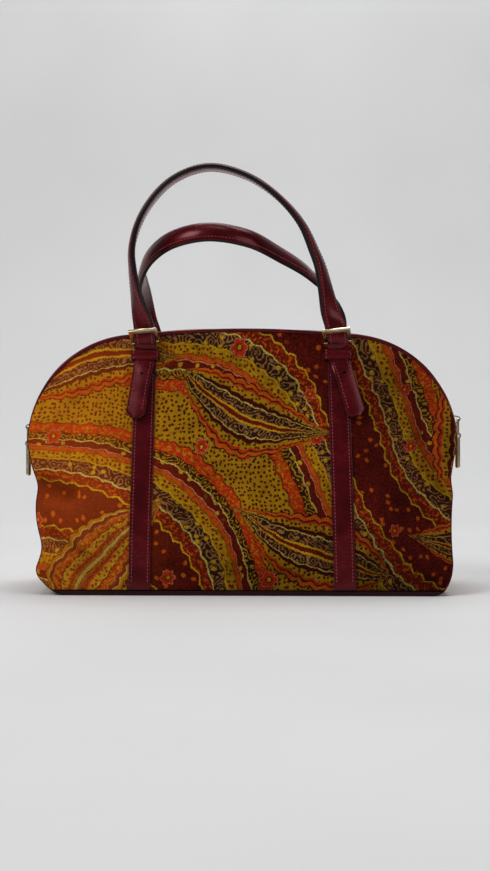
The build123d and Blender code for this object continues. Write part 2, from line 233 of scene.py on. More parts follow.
def settle(piece: Piece) -> None:
    """Put a piece's place, turn and scale into its mesh."""
    pick(piece)
    bpy.ops.object.transform_apply(location=True, rotation=True, scale=True)


def join(pieces: Sequence[Piece], name: str) -> Piece:
    """Join pieces into the first of them.

    Args:
        pieces: Pieces to join.
        name: Name of the joined piece.

    Returns:
        The joined piece.
    """
    deselect()
    for piece in pieces:
        piece.select_set(True)
    bpy.context.view_layer.objects.active = pieces[0]
    if len(pieces) > 1:
        bpy.ops.object.join()
    pieces[0].name = name
    return pieces[0]


def soften(piece: Piece, degrees: float = 40.0) -> None:
    """Shade a piece smooth up to an angle."""
    pick(piece)
    bpy.ops.object.shade_smooth_by_angle(angle=math.radians(degrees))


def woven_grid(name: str, points: np.ndarray, uv: np.ndarray, uv_name: str) -> Piece:
    """Add a grid and move its points onto a surface.

    Args:
        name: Name of the piece.
        points: Array of rows by columns by 3 places.
        uv: Array of rows by columns by 2 flat places, stored as the piece's map.
        uv_name: Name of the map.

    Returns:
        The new piece, an open sheet whose faces look along row direction cross column direction.
    """
    rows, columns = points.shape[:2]
    deselect()
    bpy.ops.mesh.primitive_grid_add(x_subdivisions=columns - 1, y_subdivisions=rows - 1, size=1.0)
    sheet = bpy.context.active_object
    sheet.name = name
    sheet.data.name = name
    sheet.data.vertices.foreach_set("co", points.reshape(-1).astype(np.float32))
    while sheet.data.uv_layers:
        sheet.data.uv_layers.remove(sheet.data.uv_layers[0])
    layer = sheet.data.uv_layers.new(name=uv_name)
    corners = np.zeros(len(sheet.data.loops), np.int32)
    sheet.data.loops.foreach_get("vertex_index", corners)
    layer.data.foreach_set("uv", uv.reshape(-1, 2)[corners].reshape(-1).astype(np.float32))
    sheet.data.update()
    return sheet


def thicken(piece: Piece, thickness: float, round_r: float, rim_slot: int = 0,
            segments: int = 2, offset: float = -1.0) -> None:
    """Give a sheet its thickness and rounded rims.

    Args:
        piece: Open sheet.
        thickness: Thickness of the sheet.
        round_r: Radius of the rounded rims, or zero for none.
        rim_slot: How many material slots further the rim's material lies.
        segments: Steps of the rounding.
        offset: Side of the thickness: -1 is behind the faces, 0 both sides, 1 before them.
    """
    solid = piece.modifiers.new("thickness", "SOLIDIFY")
    solid.thickness = thickness
    solid.offset = offset
    solid.use_even_offset = True
    solid.material_offset_rim = rim_slot
    if round_r > 0:
        rim = piece.modifiers.new("rim", "BEVEL")
        rim.width = round_r
        rim.segments = segments
        rim.limit_method = "ANGLE"
        rim.angle_limit = math.radians(RIM_ANGLE_DEG)
        rim.material = rim_slot if rim_slot else -1
    apply_modifiers(piece)
    soften(piece)


def weld(piece: Piece) -> None:
    """Merge the points of a piece that lie on one another and turn its faces outwards."""
    pick(piece)
    bpy.ops.object.mode_set(mode="EDIT")
    bpy.ops.mesh.select_all(action="SELECT")
    bpy.ops.mesh.remove_doubles(threshold=TOUCH)
    bpy.ops.mesh.normals_make_consistent(inside=False)
    bpy.ops.object.mode_set(mode="OBJECT")


def punch(piece: Piece, place: np.ndarray, direction: np.ndarray, radius: float,
          slot: int) -> None:
    """Cut a round hole through a piece.

    Args:
        piece: Closed piece.
        place: Point on the hole's axis.
        direction: Direction of the axis.
        radius: Radius of the hole.
        slot: Material slot of the hole's wall.
    """
    deselect()
    bpy.ops.mesh.primitive_cylinder_add(vertices=20, radius=radius, depth=12 * radius, location=place,
                                        rotation=Vector(direction).to_track_quat("Z", "Y").to_euler())
    cutter = bpy.context.active_object
    dress(cutter, *piece.data.materials)
    cutter.data.polygons.foreach_set("material_index", np.full(len(cutter.data.polygons), slot, np.int32))
    cut = piece.modifiers.new("hole", "BOOLEAN")
    cut.operation = "DIFFERENCE"
    cut.object = cutter
    apply_modifiers(piece)
    bpy.data.objects.remove(cutter)


def dress(piece: Piece, *finishes: bpy.types.Material) -> None:
    """Give a piece its materials, in slot order."""
    piece.data.materials.clear()
    for finish in finishes:
        piece.data.materials.append(finish)


def stand_for(piece: Piece, body: str, slot: str, *nodes: str) -> None:
    """Let a piece ride on a body in place of model nodes.

    Args:
        piece: Finished piece.
        body: Body that carries it.
        slot: Material slot of the record; not used.
        nodes: Nodes that the piece stands for.
    """
    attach(piece, body)
    if nodes:
        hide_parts(*nodes)
    LOG.info("%s rides on %s and stands for %s", piece.name, body, ", ".join(nodes) or "no node")


def declare_sheet(piece: Piece, flat: np.ndarray, *rests_on: str) -> None:
    """Work out the area of a sheet that was cut flat to its map and stretched over the bag; the area is not
    kept.

    Args:
        piece: Finished sheet; not used.
        flat: Its flat places, rows by columns by 2.
        rests_on: Nodes that carry it; not used.
    """
    first, second = flat[1:, 1:] - flat[:-1, :-1], flat[1:, :-1] - flat[:-1, 1:]
    area = float(np.abs(first[..., 0] * second[..., 1] - first[..., 1] * second[..., 0]).sum() / 2)


@dataclass
class Fold:
    """Soft ridge or crease across a panel, in panel coordinates.

    Attributes:
        start: One end, across and up the panel.
        end: The other end.
        lift: Height of the ridge, or depth of the crease when negative.
        reach: Half width of the fold.
    """

    start: tuple[float, float]
    end: tuple[float, float]
    lift: float
    reach: float

    def offset(self, across: np.ndarray, up: np.ndarray) -> np.ndarray:
        """Work out how far the fold moves points of a panel.

        Args:
            across: Places across the panel.
            up: Places up the panel.

        Returns:
            Outward moves.
        """
        start = np.array(self.start)
        line = np.array(self.end) - start
        share = ((across - start[0]) * line[0] + (up - start[1]) * line[1]) / line.dot(line)
        fade_in, fade_out = (-0.35, 0.15), (0.85, 1.35)
        fade = smooth(share, *fade_in) * (1 - smooth(share, *fade_out))
        gap = (across - start[0]) * line[1] - (up - start[1]) * line[0]
        gap = gap / np.linalg.norm(line)
        return self.lift * fade * np.exp(-(gap / self.reach) ** 2)


@dataclass
class BagForm:
    """Outer form of the stuffed bag.

    The sizes follow the solids: a dome outline on two panels that lean together, and a band between them.
    A wave of the left side has its move, its height and its reach.
    """

    half_width: float = 0.192
    shoulder_z: float = 0.133
    shoulder_r: float = 0.098
    crown_rise: float = 0.005
    waist_z: float = 0.078
    waist_pinch: float = 0.009
    foot_pinch: float = 0.008
    corner_r: float = 0.018
    half_depth: float = 0.075
    top_half_depth: float = 0.038
    base_t: float = 0.004
    seam: float = 0.0012
    edge_round: float = 0.007
    swell: float = 0.0075
    strap_foot_x: float = 0.0899
    strap_foot_shift: float = 0.0013
    strap_top_x: float = 0.086
    strap_width: float = 0.0192
    hinge_z: float = 0.2235
    left_waves: tuple[tuple[float, float, float], ...] = ((0.0057, 0.040, 0.017), (0.0034, 0.096, 0.012))
    corner_sway: float = 0.0125
    right_sway: float = 0.0034
    swell_reach: float = 0.045
    strap_dent: float = 0.0016

    @classmethod
    def from_frame(cls) -> "BagForm":
        """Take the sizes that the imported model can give.

        Returns:
            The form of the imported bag.
        """
        low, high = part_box("base_panel")
        strip_low, strip_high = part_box("front_zip_strip")
        form = cls(half_width=strip_high[0], half_depth=-low[1], base_t=high[2])
        form.shoulder_z = strip_low[2]
        form.shoulder_r = strip_high[2] - form.shoulder_z - form.crown_rise
        return form

    @property
    def shoulder_x(self) -> float:
        """Distance of a shoulder's centre from the middle."""
        return self.half_width - self.shoulder_r

    @property
    def crown_z(self) -> float:
        """Height of the dome's top."""
        return self.shoulder_z + self.shoulder_r + self.crown_rise

    @property
    def tilt(self) -> float:
        """Lean of the panels from upright."""
        return math.atan((self.half_depth - self.top_half_depth) / self.crown_z)

    @property
    def hinge_v(self) -> float:
        """Height of the buckle bars up the panel."""
        return self.hinge_z / math.cos(self.tilt)

    def side_line(self, inset: float = 0.0, count: int = 160) -> np.ndarray:
        """Draw one side of the dome from the base up to the shoulder.

        Args:
            inset: Distance inside the outline.
            count: Number of points.

        Returns:
            Array of distance from the middle and height.
        """
        foot = self.half_width - self.foot_pinch
        corner = [(foot - self.corner_r + (self.corner_r - inset) * math.sin(angle),
                   self.corner_r - (self.corner_r - inset) * math.cos(angle))
                  for angle in np.linspace(math.acos(1 - self.base_t / self.corner_r), math.pi / 2, 24)]
        heights = np.linspace(self.corner_r, self.shoulder_z, 60)[1:]
        marks = (self.corner_r, self.waist_z, self.shoulder_z)
        reach = (foot, self.half_width - self.waist_pinch, self.half_width)
        bow = np.polyval(np.polyfit(marks, reach, 2), heights) - inset
        return resample([*corner, *zip(bow, heights)], count)

    def arch_line(self, inset: float = 0.0, count: int = 240) -> np.ndarray:
        """Draw the arch from the left shoulder over the top to the right one.

        Args:
            inset: Distance inside the outline.
            count: Number of points.

        Returns:
            Array of x and height.
        """
        radius = self.shoulder_r - inset
        right = [(self.shoulder_x + radius * math.cos(angle), self.shoulder_z + radius * math.sin(angle))
                 for angle in np.linspace(0, math.radians(87), 80)]
        crown = [(x, self.crown_z - inset - self.crown_rise * (x / self.shoulder_x) ** 2)
                 for x in np.linspace(self.shoulder_x * 0.98, 0, 30)]
        half = right + crown
        left = [(-x, z) for x, z in half]
        return resample(left + half[-2::-1], count)

    def outline(self, inset: float = 0.0) -> np.ndarray:
        """Draw the closed dome outline above the base, starting at its left foot."""
        side = self.side_line(inset)
        mirrored = side * np.array([-1, 1])
        return np.vstack([mirrored, self.arch_line(inset)[1:-1], side[::-1]])

    def panel_axes(self, side: Side) -> tuple[np.ndarray, np.ndarray, np.ndarray]:
        """Give a panel's foot and its directions up and outwards.

        Args:
            side: Front or back.

        Returns:
            Foot of the panel in the middle, direction up the panel, direction out of it.
        """
        sign = side.value
        foot = np.array([0.0, sign * self.half_depth, 0.0])
        up = np.array([0.0, -sign * math.sin(self.tilt), math.cos(self.tilt)])
        out = np.array([0.0, sign * math.cos(self.tilt), math.sin(self.tilt)])
        return foot, up, out

    def panel_place(self, side: Side, across: np.ndarray, up: np.ndarray, out: np.ndarray) -> np.ndarray:
        """Turn panel coordinates into places.

        Args:
            side: Front or back.
            across: X of the points.
            up: Distance up the panel.
            out: Distance out of it.

        Returns:
            Array of places.
        """
        foot, up_dir, out_dir = self.panel_axes(side)
        across, up, out = np.broadcast_arrays(across, up, out)
        return (foot + across[..., None] * np.array([1.0, 0.0, 0.0]) + up[..., None] * up_dir
                + out[..., None] * out_dir)

    def strap_x(self, hand: Hand, up: np.ndarray | float) -> np.ndarray | float:
        """Middle of a strap at a height up the panel."""
        share = up / self.hinge_v
        straight = hand.value * (self.strap_foot_x + (self.strap_top_x - self.strap_foot_x) * share)
        return straight + self.strap_foot_shift * (1 - share)

    def edge_gap(self, across: np.ndarray, height: np.ndarray) -> np.ndarray:
        """Distance of points from the dome outline and its base line.

        Args:
            across: X of the points.
            height: Upright height of the points.

        Returns:
            Distances.
        """
        line = self.outline(self.seam)
        starts, ends = line, np.roll(line, -1, axis=0)
        spans = ends - starts
        points = np.stack([across.ravel(), height.ravel()], axis=1)
        best = np.full(len(points), 1.0)
        for start, span in zip(starts, spans):
            share = np.clip((points - start) @ span / max(span @ span, 1e-12), 0, 1)
            best = np.minimum(best, np.linalg.norm(points - start - share[:, None] * span, axis=1))
        return best.reshape(across.shape)

    def sway(self, places: np.ndarray) -> np.ndarray:
        """Move the soft sides of the front in and out, as the stuffing settles.

        Args:
            places: Points of a sheet.

        Returns:
            The moved points.
        """
        x, y, z = np.moveaxis(places, -1, 0)
        foot_rise, corner_rise = (0.004, 0.016), (0.0, 0.026)
        right_start, right_end = (0.01, 0.03), (0.085, 0.105)
        side_reach, front_reach = (0.10, 0.18), (0.0, 0.05)
        left = sum(move * bell(z, height, reach) for move, height, reach in self.left_waves)
        left = left * smooth(z, *foot_rise) + self.corner_sway * (1 - smooth(z, *corner_rise))
        right = self.right_sway * smooth(z, *right_start) * (1 - smooth(z, *right_end))
        weight = smooth(np.abs(x), *side_reach) * smooth(-y, *front_reach)
        return np.stack([x + weight * np.where(x < 0, left, right), y, z], axis=-1)

    def seam_drop(self, gap: np.ndarray) -> np.ndarray:
        """How far a sheet rounds down towards its seam at a distance from it."""
        share = 1 - np.clip(gap / self.edge_round, 0, 1)
        return -self.seam * (1 - np.sqrt(np.clip(1 - share ** 2, 0, 1)))

    def bulge(self, across: np.ndarray, up: np.ndarray, folds: Sequence[Fold]) -> np.ndarray:
        """Work out how far the soft panel stands out of its flat plane.

        Args:
            across: X of the points.
            up: Distance up the panel.
            folds: Soft folds of the panel.

        Returns:
            Outward distances, negative where the seam draws the panel in.
        """
        height = up * math.cos(self.tilt)
        gap = self.edge_gap(across, height)
        out = self.seam_drop(gap)
        swell_power, dent_share = 1.5, 0.75
        swell_up, fold_gap = (0.05, 0.205), (0.0, 0.012)
        full = 1 - np.exp(-(gap / self.swell_reach) ** swell_power)
        low_weight = 1 - smooth(up, *swell_up)
        out = out + self.swell * full * low_weight
        for hand in Hand:
            dent = bell(across, self.strap_x(hand, up), self.strap_width * dent_share)
            out = out - self.strap_dent * dent * full * low_weight
        for fold in folds:
            out = out + fold.offset(across, up) * smooth(gap, *fold_gap)
        return out


Number = "Field | float"


class Field:
    """Number that varies over a surface, kept as an output of a shader node."""

    def __init__(self, tree: bpy.types.NodeTree, socket: Socket) -> None:
        """Wrap an output socket of a node tree."""
        self.tree = tree
        self.socket = socket

    def math(self, operation: str, *values: Number) -> "Field":
        """Add a math node that starts from this field.

        Args:
            operation: Name of the operation.
            values: Further inputs, fields or numbers.

        Returns:
            The node's result.
        """
        node = self.tree.nodes.new("ShaderNodeMath")
        node.operation = operation
        for index, value in enumerate((self, *values)):
            if isinstance(value, Field):
                self.tree.links.new(value.socket, node.inputs[index])
            else:
                node.inputs[index].default_value = value
        return Field(self.tree, node.outputs[0])

    def __add__(self, other: Number) -> "Field":
        """Sum of two values."""
        return self.math("ADD", other)

    def __sub__(self, other: Number) -> "Field":
        """Difference of two values."""
        return self.math("SUBTRACT", other)

    def __mul__(self, other: Number) -> "Field":
        """Product of two values."""
        return self.math("MULTIPLY", other)

    def __truediv__(self, other: Number) -> "Field":
        """Quotient of two values."""
        return self.math("DIVIDE", other)

    def __neg__(self) -> "Field":
        """Value with its sign turned."""
        return self.math("MULTIPLY", -1.0)

    def __abs__(self) -> "Field":
        """Value without its sign."""
        return self.math("ABSOLUTE")

    def sine(self) -> "Field":
        """Sine of an angle."""
        return self.math("SINE")

    def cosine(self) -> "Field":
        """Cosine of an angle."""
        return self.math("COSINE")

    def zigzag(self, span: float) -> "Field":
        """Value that runs to and fro between 0 and span."""
        return self.math("PINGPONG", span)

    def most(self, other: Number) -> "Field":
        """Larger of two values."""
        return self.math("MAXIMUM", other)

    def step(self, low: float, high: float) -> "Field":
        """Ease from 0 at low to 1 at high.

        Args:
            low: Value where the step starts.
            high: Value where it ends.

        Returns:
            Share between 0 and 1.
        """
        node = self.tree.nodes.new("ShaderNodeMapRange")
        node.interpolation_type = "SMOOTHSTEP"
        node.inputs["From Min"].default_value = low
        node.inputs["From Max"].default_value = high
        self.tree.links.new(self.socket, node.inputs["Value"])
        return Field(self.tree, node.outputs[0])


class Surface:
    """Node tree of one procedural material, with a Principled shader at its end."""

    def __init__(self, name: str) -> None:
        """Start a material with the given name."""
        self.material = bpy.data.materials.new(name)
        self.material.use_nodes = True
        self.tree = self.material.node_tree
        self.shader = next(node for node in self.tree.nodes if node.type == "BSDF_PRINCIPLED")

    def node(self, kind: str, **inputs: float) -> bpy.types.Node:
        """Add a node and set its inputs by name."""
        node = self.tree.nodes.new(kind)
        for name, value in inputs.items():
            node.inputs[name.replace("_", " ")].default_value = value
        return node

    def set(self, **values: float | tuple) -> None:
        """Set constants on the shader's sockets by name."""
        for name, value in values.items():
            self.shader.inputs[name.replace("_", " ")].default_value = value

    def field(self, socket: Socket) -> Field:
        """Wrap an output socket."""
        return Field(self.tree, socket)

    def object_place(self) -> Socket:
        """Object coordinates of the surface."""
        return self.node("ShaderNodeTexCoord").outputs["Object"]

    def map_place(self, uv_name: str) -> Socket:
        """Flat coordinates from one of the piece's own maps."""
        node = self.tree.nodes.new("ShaderNodeUVMap")
        node.uv_map = uv_name
        return node.outputs["UV"]

    def split(self, vector: Socket) -> tuple[Field, Field, Field]:
        """Take a vector apart."""
        node = self.tree.nodes.new("ShaderNodeSeparateXYZ")
        self.tree.links.new(vector, node.inputs[0])
        return tuple(Field(self.tree, output) for output in node.outputs)

    def vector(self, x: Number, y: Number, z: Number = 0.0) -> Socket:
        """Put a vector together from fields or numbers."""
        node = self.tree.nodes.new("ShaderNodeCombineXYZ")
        for socket, value in zip(node.inputs, (x, y, z)):
            if isinstance(value, Field):
                self.tree.links.new(value.socket, socket)
            else:
                socket.default_value = value
        return node.outputs[0]

    def noise(self, place: Socket, scale: float, detail: float = 2.0,
              roughness: float = 0.5) -> Field:
        """Add a noise texture.

        Args:
            place: Coordinates that it reads.
            scale: Waves per metre.
            detail: Number of finer layers.
            roughness: Strength of the finer layers.

        Returns:
            Noise from 0 to 1, mostly about 0.5.
        """
        node = self.node("ShaderNodeTexNoise", Scale=scale, Detail=detail, Roughness=roughness)
        self.tree.links.new(place, node.inputs["Vector"])
        return Field(self.tree, node.outputs[0])

    def cells(self, place: Socket, scale: float, jitter: float) -> bpy.types.Node:
        """Add a cell texture that reads coordinates and gives distance, random colour and cell place."""
        node = self.node("ShaderNodeTexVoronoi", Scale=scale, Randomness=jitter)
        node.voronoi_dimensions = "2D"
        self.tree.links.new(place, node.inputs["Vector"])
        return node

    def ramp(self, value: Field, stops: Sequence[tuple[float, Tone | tuple]], sharp: bool = False
             ) -> Socket:
        """Turn a value into a colour.

        Args:
            value: Field from 0 to 1.
            stops: Places and colours, as tones or plain colours.
            sharp: True for flat steps instead of blends.

        Returns:
            Colour socket.
        """
        node = self.tree.nodes.new("ShaderNodeValToRGB")
        node.color_ramp.interpolation = "CONSTANT" if sharp else "LINEAR"
        elements = node.color_ramp.elements
        while len(elements) < len(stops):
            elements.new(0.5)
        for element, (place, colour) in zip(elements, stops):
            element.position = place
            element.color = colour.value if isinstance(colour, Tone) else colour
        self.tree.links.new(value.socket, node.inputs[0])
        return node.outputs[0]

    def mix(self, share: Number, first: Socket, second: Socket | Tone
            ) -> Socket:
        """Blend two colours by a share.

        Args:
            share: 0 gives the first colour, 1 the second.
            first: Colour socket.
            second: Colour socket or tone.

        Returns:
            Colour socket.
        """
        node = self.tree.nodes.new("ShaderNodeMix")
        node.data_type = "RGBA"
        for socket, value in ((node.inputs[0], share), (node.inputs[6], first), (node.inputs[7], second)):
            if isinstance(value, Field):
                self.tree.links.new(value.socket, socket)
            elif isinstance(value, Socket):
                self.tree.links.new(value, socket)
            else:
                socket.default_value = value.value if isinstance(value, Tone) else value
        return node.outputs[2]

    def paint(self, colour: Socket) -> None:
        """Link a colour to the shader."""
        self.tree.links.new(colour, self.shader.inputs["Base Color"])

    def roughen(self, roughness: Field) -> None:
        """Link a roughness to the shader."""
        self.tree.links.new(roughness.socket, self.shader.inputs["Roughness"])

    def bump(self, height: Field, distance: float, strength: float = 1.0) -> None:
        """Let a height field tilt the surface.

        Args:
            height: Field from 0 to 1.
            distance: Height in metres of a full step.
            strength: Share of the tilt that is kept.
        """
        node = self.node("ShaderNodeBump", Strength=strength, Distance=distance)
        self.tree.links.new(height.socket, node.inputs["Height"])
        self.tree.links.new(node.outputs[0], self.shader.inputs["Normal"])


class Tone(Enum):
    """Colours of the bag, as linear shader colours."""

    OCHRE = srgb(172, 124, 16)
    GOLD = srgb(196, 152, 22)
    ORANGE = srgb(192, 84, 16)
    RED = srgb(186, 46, 14)
    RUST = srgb(108, 26, 12)
    WINE = srgb(66, 14, 12)
    BROWN = srgb(44, 26, 16)
    TAN = srgb(150, 104, 56)
    PALE = srgb(196, 178, 84)
    ROSE = srgb(200, 112, 74)
    LEATHER = srgb(76, 9, 14)
    LEATHER_DARK = srgb(56, 7, 11)
    LEATHER_LIGHT = srgb(96, 17, 23)
    THREAD = srgb(142, 38, 54)
    EDGE = srgb(14, 13, 15)
    GOLD_METAL = srgb(230, 214, 176)
    TAPE = srgb(66, 16, 22)
    LINING = srgb(84, 40, 34)
    BASE = srgb(15, 14, 16)
    BOARD = srgb(60, 54, 50)


@dataclass(frozen=True)
class Velvet:
    """Printed velvet: swept bands, leaves and rosettes on a map that lies flat on each panel, under painted
    sheen, shade and light.

    Attributes:
        band_pitch: Distance between swept bands.
        leaf_pitch: Distance between leaves.
        leaf_half: Half length of a leaf.
        leaf_width: Half width of a leaf.
        rosette_pitch: Distance between rosettes.
        warp: How far noise bends the print.
        fray: How far the edges of its motifs waver.
        bleed: How far the dye runs into the pile.
    """

    band_pitch: float = 0.230
    leaf_pitch: float = 0.150
    leaf_half: float = 0.074
    leaf_width: float = 0.032
    rosette_pitch: float = 0.062
    warp: float = 0.030
    fray: float = 0.0050
    bleed: float = 0.0023

    def fills(self, face: Surface, flat: Socket) -> dict[str, Field]:
        """Draw the fine fillings of the print.

        Args:
            face: Material in the making.
            flat: Flat coordinates in metres.

        Returns:
            Shares by name: worm lines, finer vines, seeds, flecks and sparse specks.
        """
        worms = (face.noise(flat, 150, 0.0) * 9.0).zigzag(1.0)
        vines = (face.noise(flat, 230, 1.0) * 11.0).zigzag(1.0)
        seeds = face.cells(flat, 240, 0.6)
        specks = face.cells(flat, 130, 0.9)
        chosen, _, _ = face.split(specks.outputs["Color"])
        return {
            "worms": worms.step(0.50, 0.76),
            "vines": vines.step(0.56, 0.80),
            "seeds": face.field(seeds.outputs["Distance"]).step(0.38, 0.20),
            "flecks": face.noise(flat, 330, 3.0, 0.65).step(0.50, 0.60),
            "specks": face.field(specks.outputs["Distance"]).step(0.30, 0.18) * chosen.step(0.60, 0.62),
        }

    def fill_zones(self, face: Surface, depth: Field, colour: Socket, fills: dict[str, Field],
                   zones: Sequence[tuple[float, float, float, float, str, Tone]]) -> Socket:
        """Lay fine fillings over some ranges of a depth.

        Args:
            face: Material in the making.
            depth: Field that the ranges lie on.
            colour: Colour below.
            fills: Fine fillings.
            zones: Where each range starts, is full, begins to fade and ends, its filling and its tone.

        Returns:
            Colour socket.
        """
        for start, full, fade, end, fill, tone in zones:
            zone = depth.step(start, full) * depth.step(end, fade)
            colour = face.mix(zone * fills[fill], colour, tone)
        return colour

    def bands(self, face: Surface, u: Field, v: Field, fills: dict[str, Field]) -> Socket:
        """Colour the ground with broad swept bands that have toothed borders.

        Args:
            face: Material in the making.
            u, v: Flat coordinates in metres.
            fills: Fine fillings.

        Returns:
            Colour socket.
        """
        turn = 2 * math.pi / self.band_pitch
        beside = u * 0.80 - v * 0.60
        sweep = u * 0.60 + v * 0.80 + (beside * (turn * 0.55)).sine() * 0.045
        teeth = (beside * 150).zigzag(1.0) * 0.022
        phase = (sweep * turn).sine() * 0.5 + teeth + 0.5
        ground = face.ramp(phase, [
            (0.00, Tone.WINE), (0.085, Tone.GOLD), (0.095, Tone.RUST), (0.185, Tone.PALE),
            (0.20, Tone.BROWN), (0.355, Tone.GOLD), (0.375, Tone.OCHRE), (0.49, Tone.BROWN),
            (0.50, Tone.ORANGE), (0.555, Tone.WINE), (0.565, Tone.ROSE), (0.58, Tone.RUST),
            (0.675, Tone.PALE), (0.69, Tone.BROWN), (0.79, Tone.RED), (0.895, Tone.WINE),
            (0.905, Tone.OCHRE)], sharp=True)
        zones = [(-0.10, 0.08, "vines", Tone.RUST), (-0.10, 0.08, "specks", Tone.ORANGE),
                 (0.10, 0.18, "flecks", Tone.ORANGE), (0.205, 0.35, "worms", Tone.TAN),
                 (0.205, 0.35, "specks", Tone.GOLD), (0.38, 0.485, "flecks", Tone.GOLD),
                 (0.38, 0.485, "seeds", Tone.RUST), (0.505, 0.55, "flecks", Tone.RED),
                 (0.585, 0.67, "vines", Tone.WINE), (0.585, 0.67, "specks", Tone.GOLD),
                 (0.695, 0.785, "worms", Tone.OCHRE), (0.80, 0.89, "flecks", Tone.OCHRE),
                 (0.91, 1.10, "seeds", Tone.WINE)]
        soft = 0.004
        edges = [(low - soft, low + soft, high - soft, high + soft, fill, tone)
                 for low, high, fill, tone in zones]
        return self.fill_zones(face, phase, ground, fills, edges)

    def leaves(self, face: Surface, u: Field, v: Field, fills: dict[str, Field], ground: Socket
               ) -> Socket:
        """Lay bowed leaves with nested borders over the ground.

        Args:
            face: Material in the making.
            u, v: Flat coordinates in metres.
            fills: Fine fillings.
            ground: Colour below.

        Returns:
            Colour socket.
        """
        cells = face.cells(face.vector(u, v), 1 / self.leaf_pitch, 0.45)
        cell_u, cell_v, _ = face.split(cells.outputs["Position"])
        first, second, third = face.split(cells.outputs["Color"])
        du, dv = u - cell_u, v - cell_v
        angle = first * 4.4 + 0.5
        across = du * angle.cosine() + dv * angle.sine()
        along = dv * angle.cosine() - du * angle.sine()
        share = along / self.leaf_half
        bowed = across + (share * share - 0.35) * ((second - 0.5) * 0.060)
        body = (-(share * share) + 1.0).most(0.0)
        scallop = abs((along * 250).sine()) * 0.09 + 0.91
        width = body * scallop * self.leaf_width * ((share * 0.35) + 1.0)
        depth = abs(bowed) / width.most(0.0004)
        inside = depth.step(1.01, 0.985) * body.step(0.001, 0.02)
        warm = face.ramp(depth, [
            (0.00, Tone.PALE), (0.045, Tone.WINE), (0.20, Tone.RED), (0.25, Tone.GOLD),
            (0.44, Tone.BROWN), (0.475, Tone.RED), (0.66, Tone.ROSE), (0.69, Tone.WINE),
            (0.82, Tone.PALE), (0.86, Tone.OCHRE), (0.96, Tone.BROWN)], sharp=True)
        cool = face.ramp(depth, [
            (0.00, Tone.RUST), (0.06, Tone.GOLD), (0.12, Tone.BROWN), (0.40, Tone.PALE),
            (0.43, Tone.WINE), (0.55, Tone.OCHRE), (0.74, Tone.RED),
            (0.80, Tone.BROWN), (0.84, Tone.ORANGE), (0.95, Tone.WINE)], sharp=True)
        warm = self.fill_zones(face, depth, warm, fills, [
            (0.06, 0.07, 0.18, 0.19, "vines", Tone.ORANGE), (0.46, 0.48, 0.64, 0.66, "flecks", Tone.GOLD),
            (0.24, 0.26, 0.42, 0.44, "seeds", Tone.RUST)])
        cool = self.fill_zones(face, depth, cool, fills, [
            (0.11, 0.13, 0.38, 0.40, "worms", Tone.TAN), (0.54, 0.56, 0.72, 0.74, "seeds", Tone.BROWN)])
        leaf = face.mix(third.step(0.48, 0.52), warm, cool)
        return face.mix(inside, ground, leaf)

    def rosettes(self, face: Surface, u: Field, v: Field, ground: Socket
                 ) -> Socket:
        """Scatter small rosettes with rings of petals over the print.

        Args:
            face: Material in the making.
            u, v: Flat coordinates in metres.
            ground: Colour below.

        Returns:
            Colour socket.
        """
        shift_u, shift_v = 0.021, 0.013
        shifted = face.vector(u + shift_u, v + shift_v)
        cells = face.cells(shifted, 1 / self.rosette_pitch, 0.8)
        cell_u, cell_v, _ = face.split(cells.outputs["Position"])
        pick, size, _ = face.split(cells.outputs["Color"])
        du, dv = u + shift_u - cell_u, v + shift_v - cell_v
        radius = (du * du + dv * dv).math("SQRT")
        petals = (dv.math("ARCTAN2", du) * 6.0).cosine() * 0.14 + 0.86
        depth = radius / ((size * 0.005 + 0.0055) * petals)
        flower = face.ramp(depth, [
            (0.00, Tone.GOLD), (0.22, Tone.WINE), (0.36, Tone.RED), (0.80, Tone.ROSE),
            (0.92, Tone.BROWN)], sharp=True)
        return face.mix(depth.step(1.02, 0.97) * pick.step(0.40, 0.42), ground, flower)

    def material(self) -> bpy.types.Material:
        """Make the velvet's material, with painted light, shade and sheen over the print.

        Returns:
            The material.
        """
        face = Surface("printed_velvet")
        flat = face.map_place(PRINT_UV)
        u, v, _ = face.split(flat)
        far = face.vector(u + 2.3, v + 3.7)
        # Front panel masks: left and right also tint the print orange and wine below, and in the brightness
        # they paint the left lighter and the right darker; low paints shade towards the bottom
        left, right = u.step(-0.03, -0.15), u.step(0.03, 0.14) * u.step(0.24, 0.22)
        low = v.step(0.085, 0.0) * u.step(0.24, 0.22)
        u = u + (face.noise(flat, 7, 1.0) - 0.5) * self.warp + (face.noise(flat, 62, 2.0) - 0.5) * self.fray
        v = v + (face.noise(far, 7, 1.0) - 0.5) * self.warp + (face.noise(far, 62, 2.0) - 0.5) * self.fray
        u = u + (face.noise(flat, 700, 1.0) - 0.5) * self.bleed
        v = v + (face.noise(far, 700, 1.0) - 0.5) * self.bleed
        fills = self.fills(face, face.vector(u, v))
        colour = self.bands(face, u, v, fills)
        colour = self.rosettes(face, u, v, colour)
        colour = self.leaves(face, u, v, fills, colour)
        mottle = face.noise(flat, 130, 4.0, 0.7)
        colour = face.mix(mottle.step(0.46, 0.76) * 0.52, colour, Tone.RUST)
        colour = face.mix(face.noise(far, 95, 4.0, 0.7).step(0.54, 0.80) * 0.40, colour, Tone.BROWN)
        colour = face.mix(left * 0.26, colour, Tone.ORANGE)
        colour = face.mix(right * 0.30, colour, Tone.WINE)
        # Painted sheen: broad patches of the crushed pile made lighter and darker
        pile_sheen = face.noise(flat, 20, 4.0, 0.65).step(0.28, 0.74)
        nap = face.noise(flat, 1300, 2.0)
        shade = face.node("ShaderNodeHueSaturation")
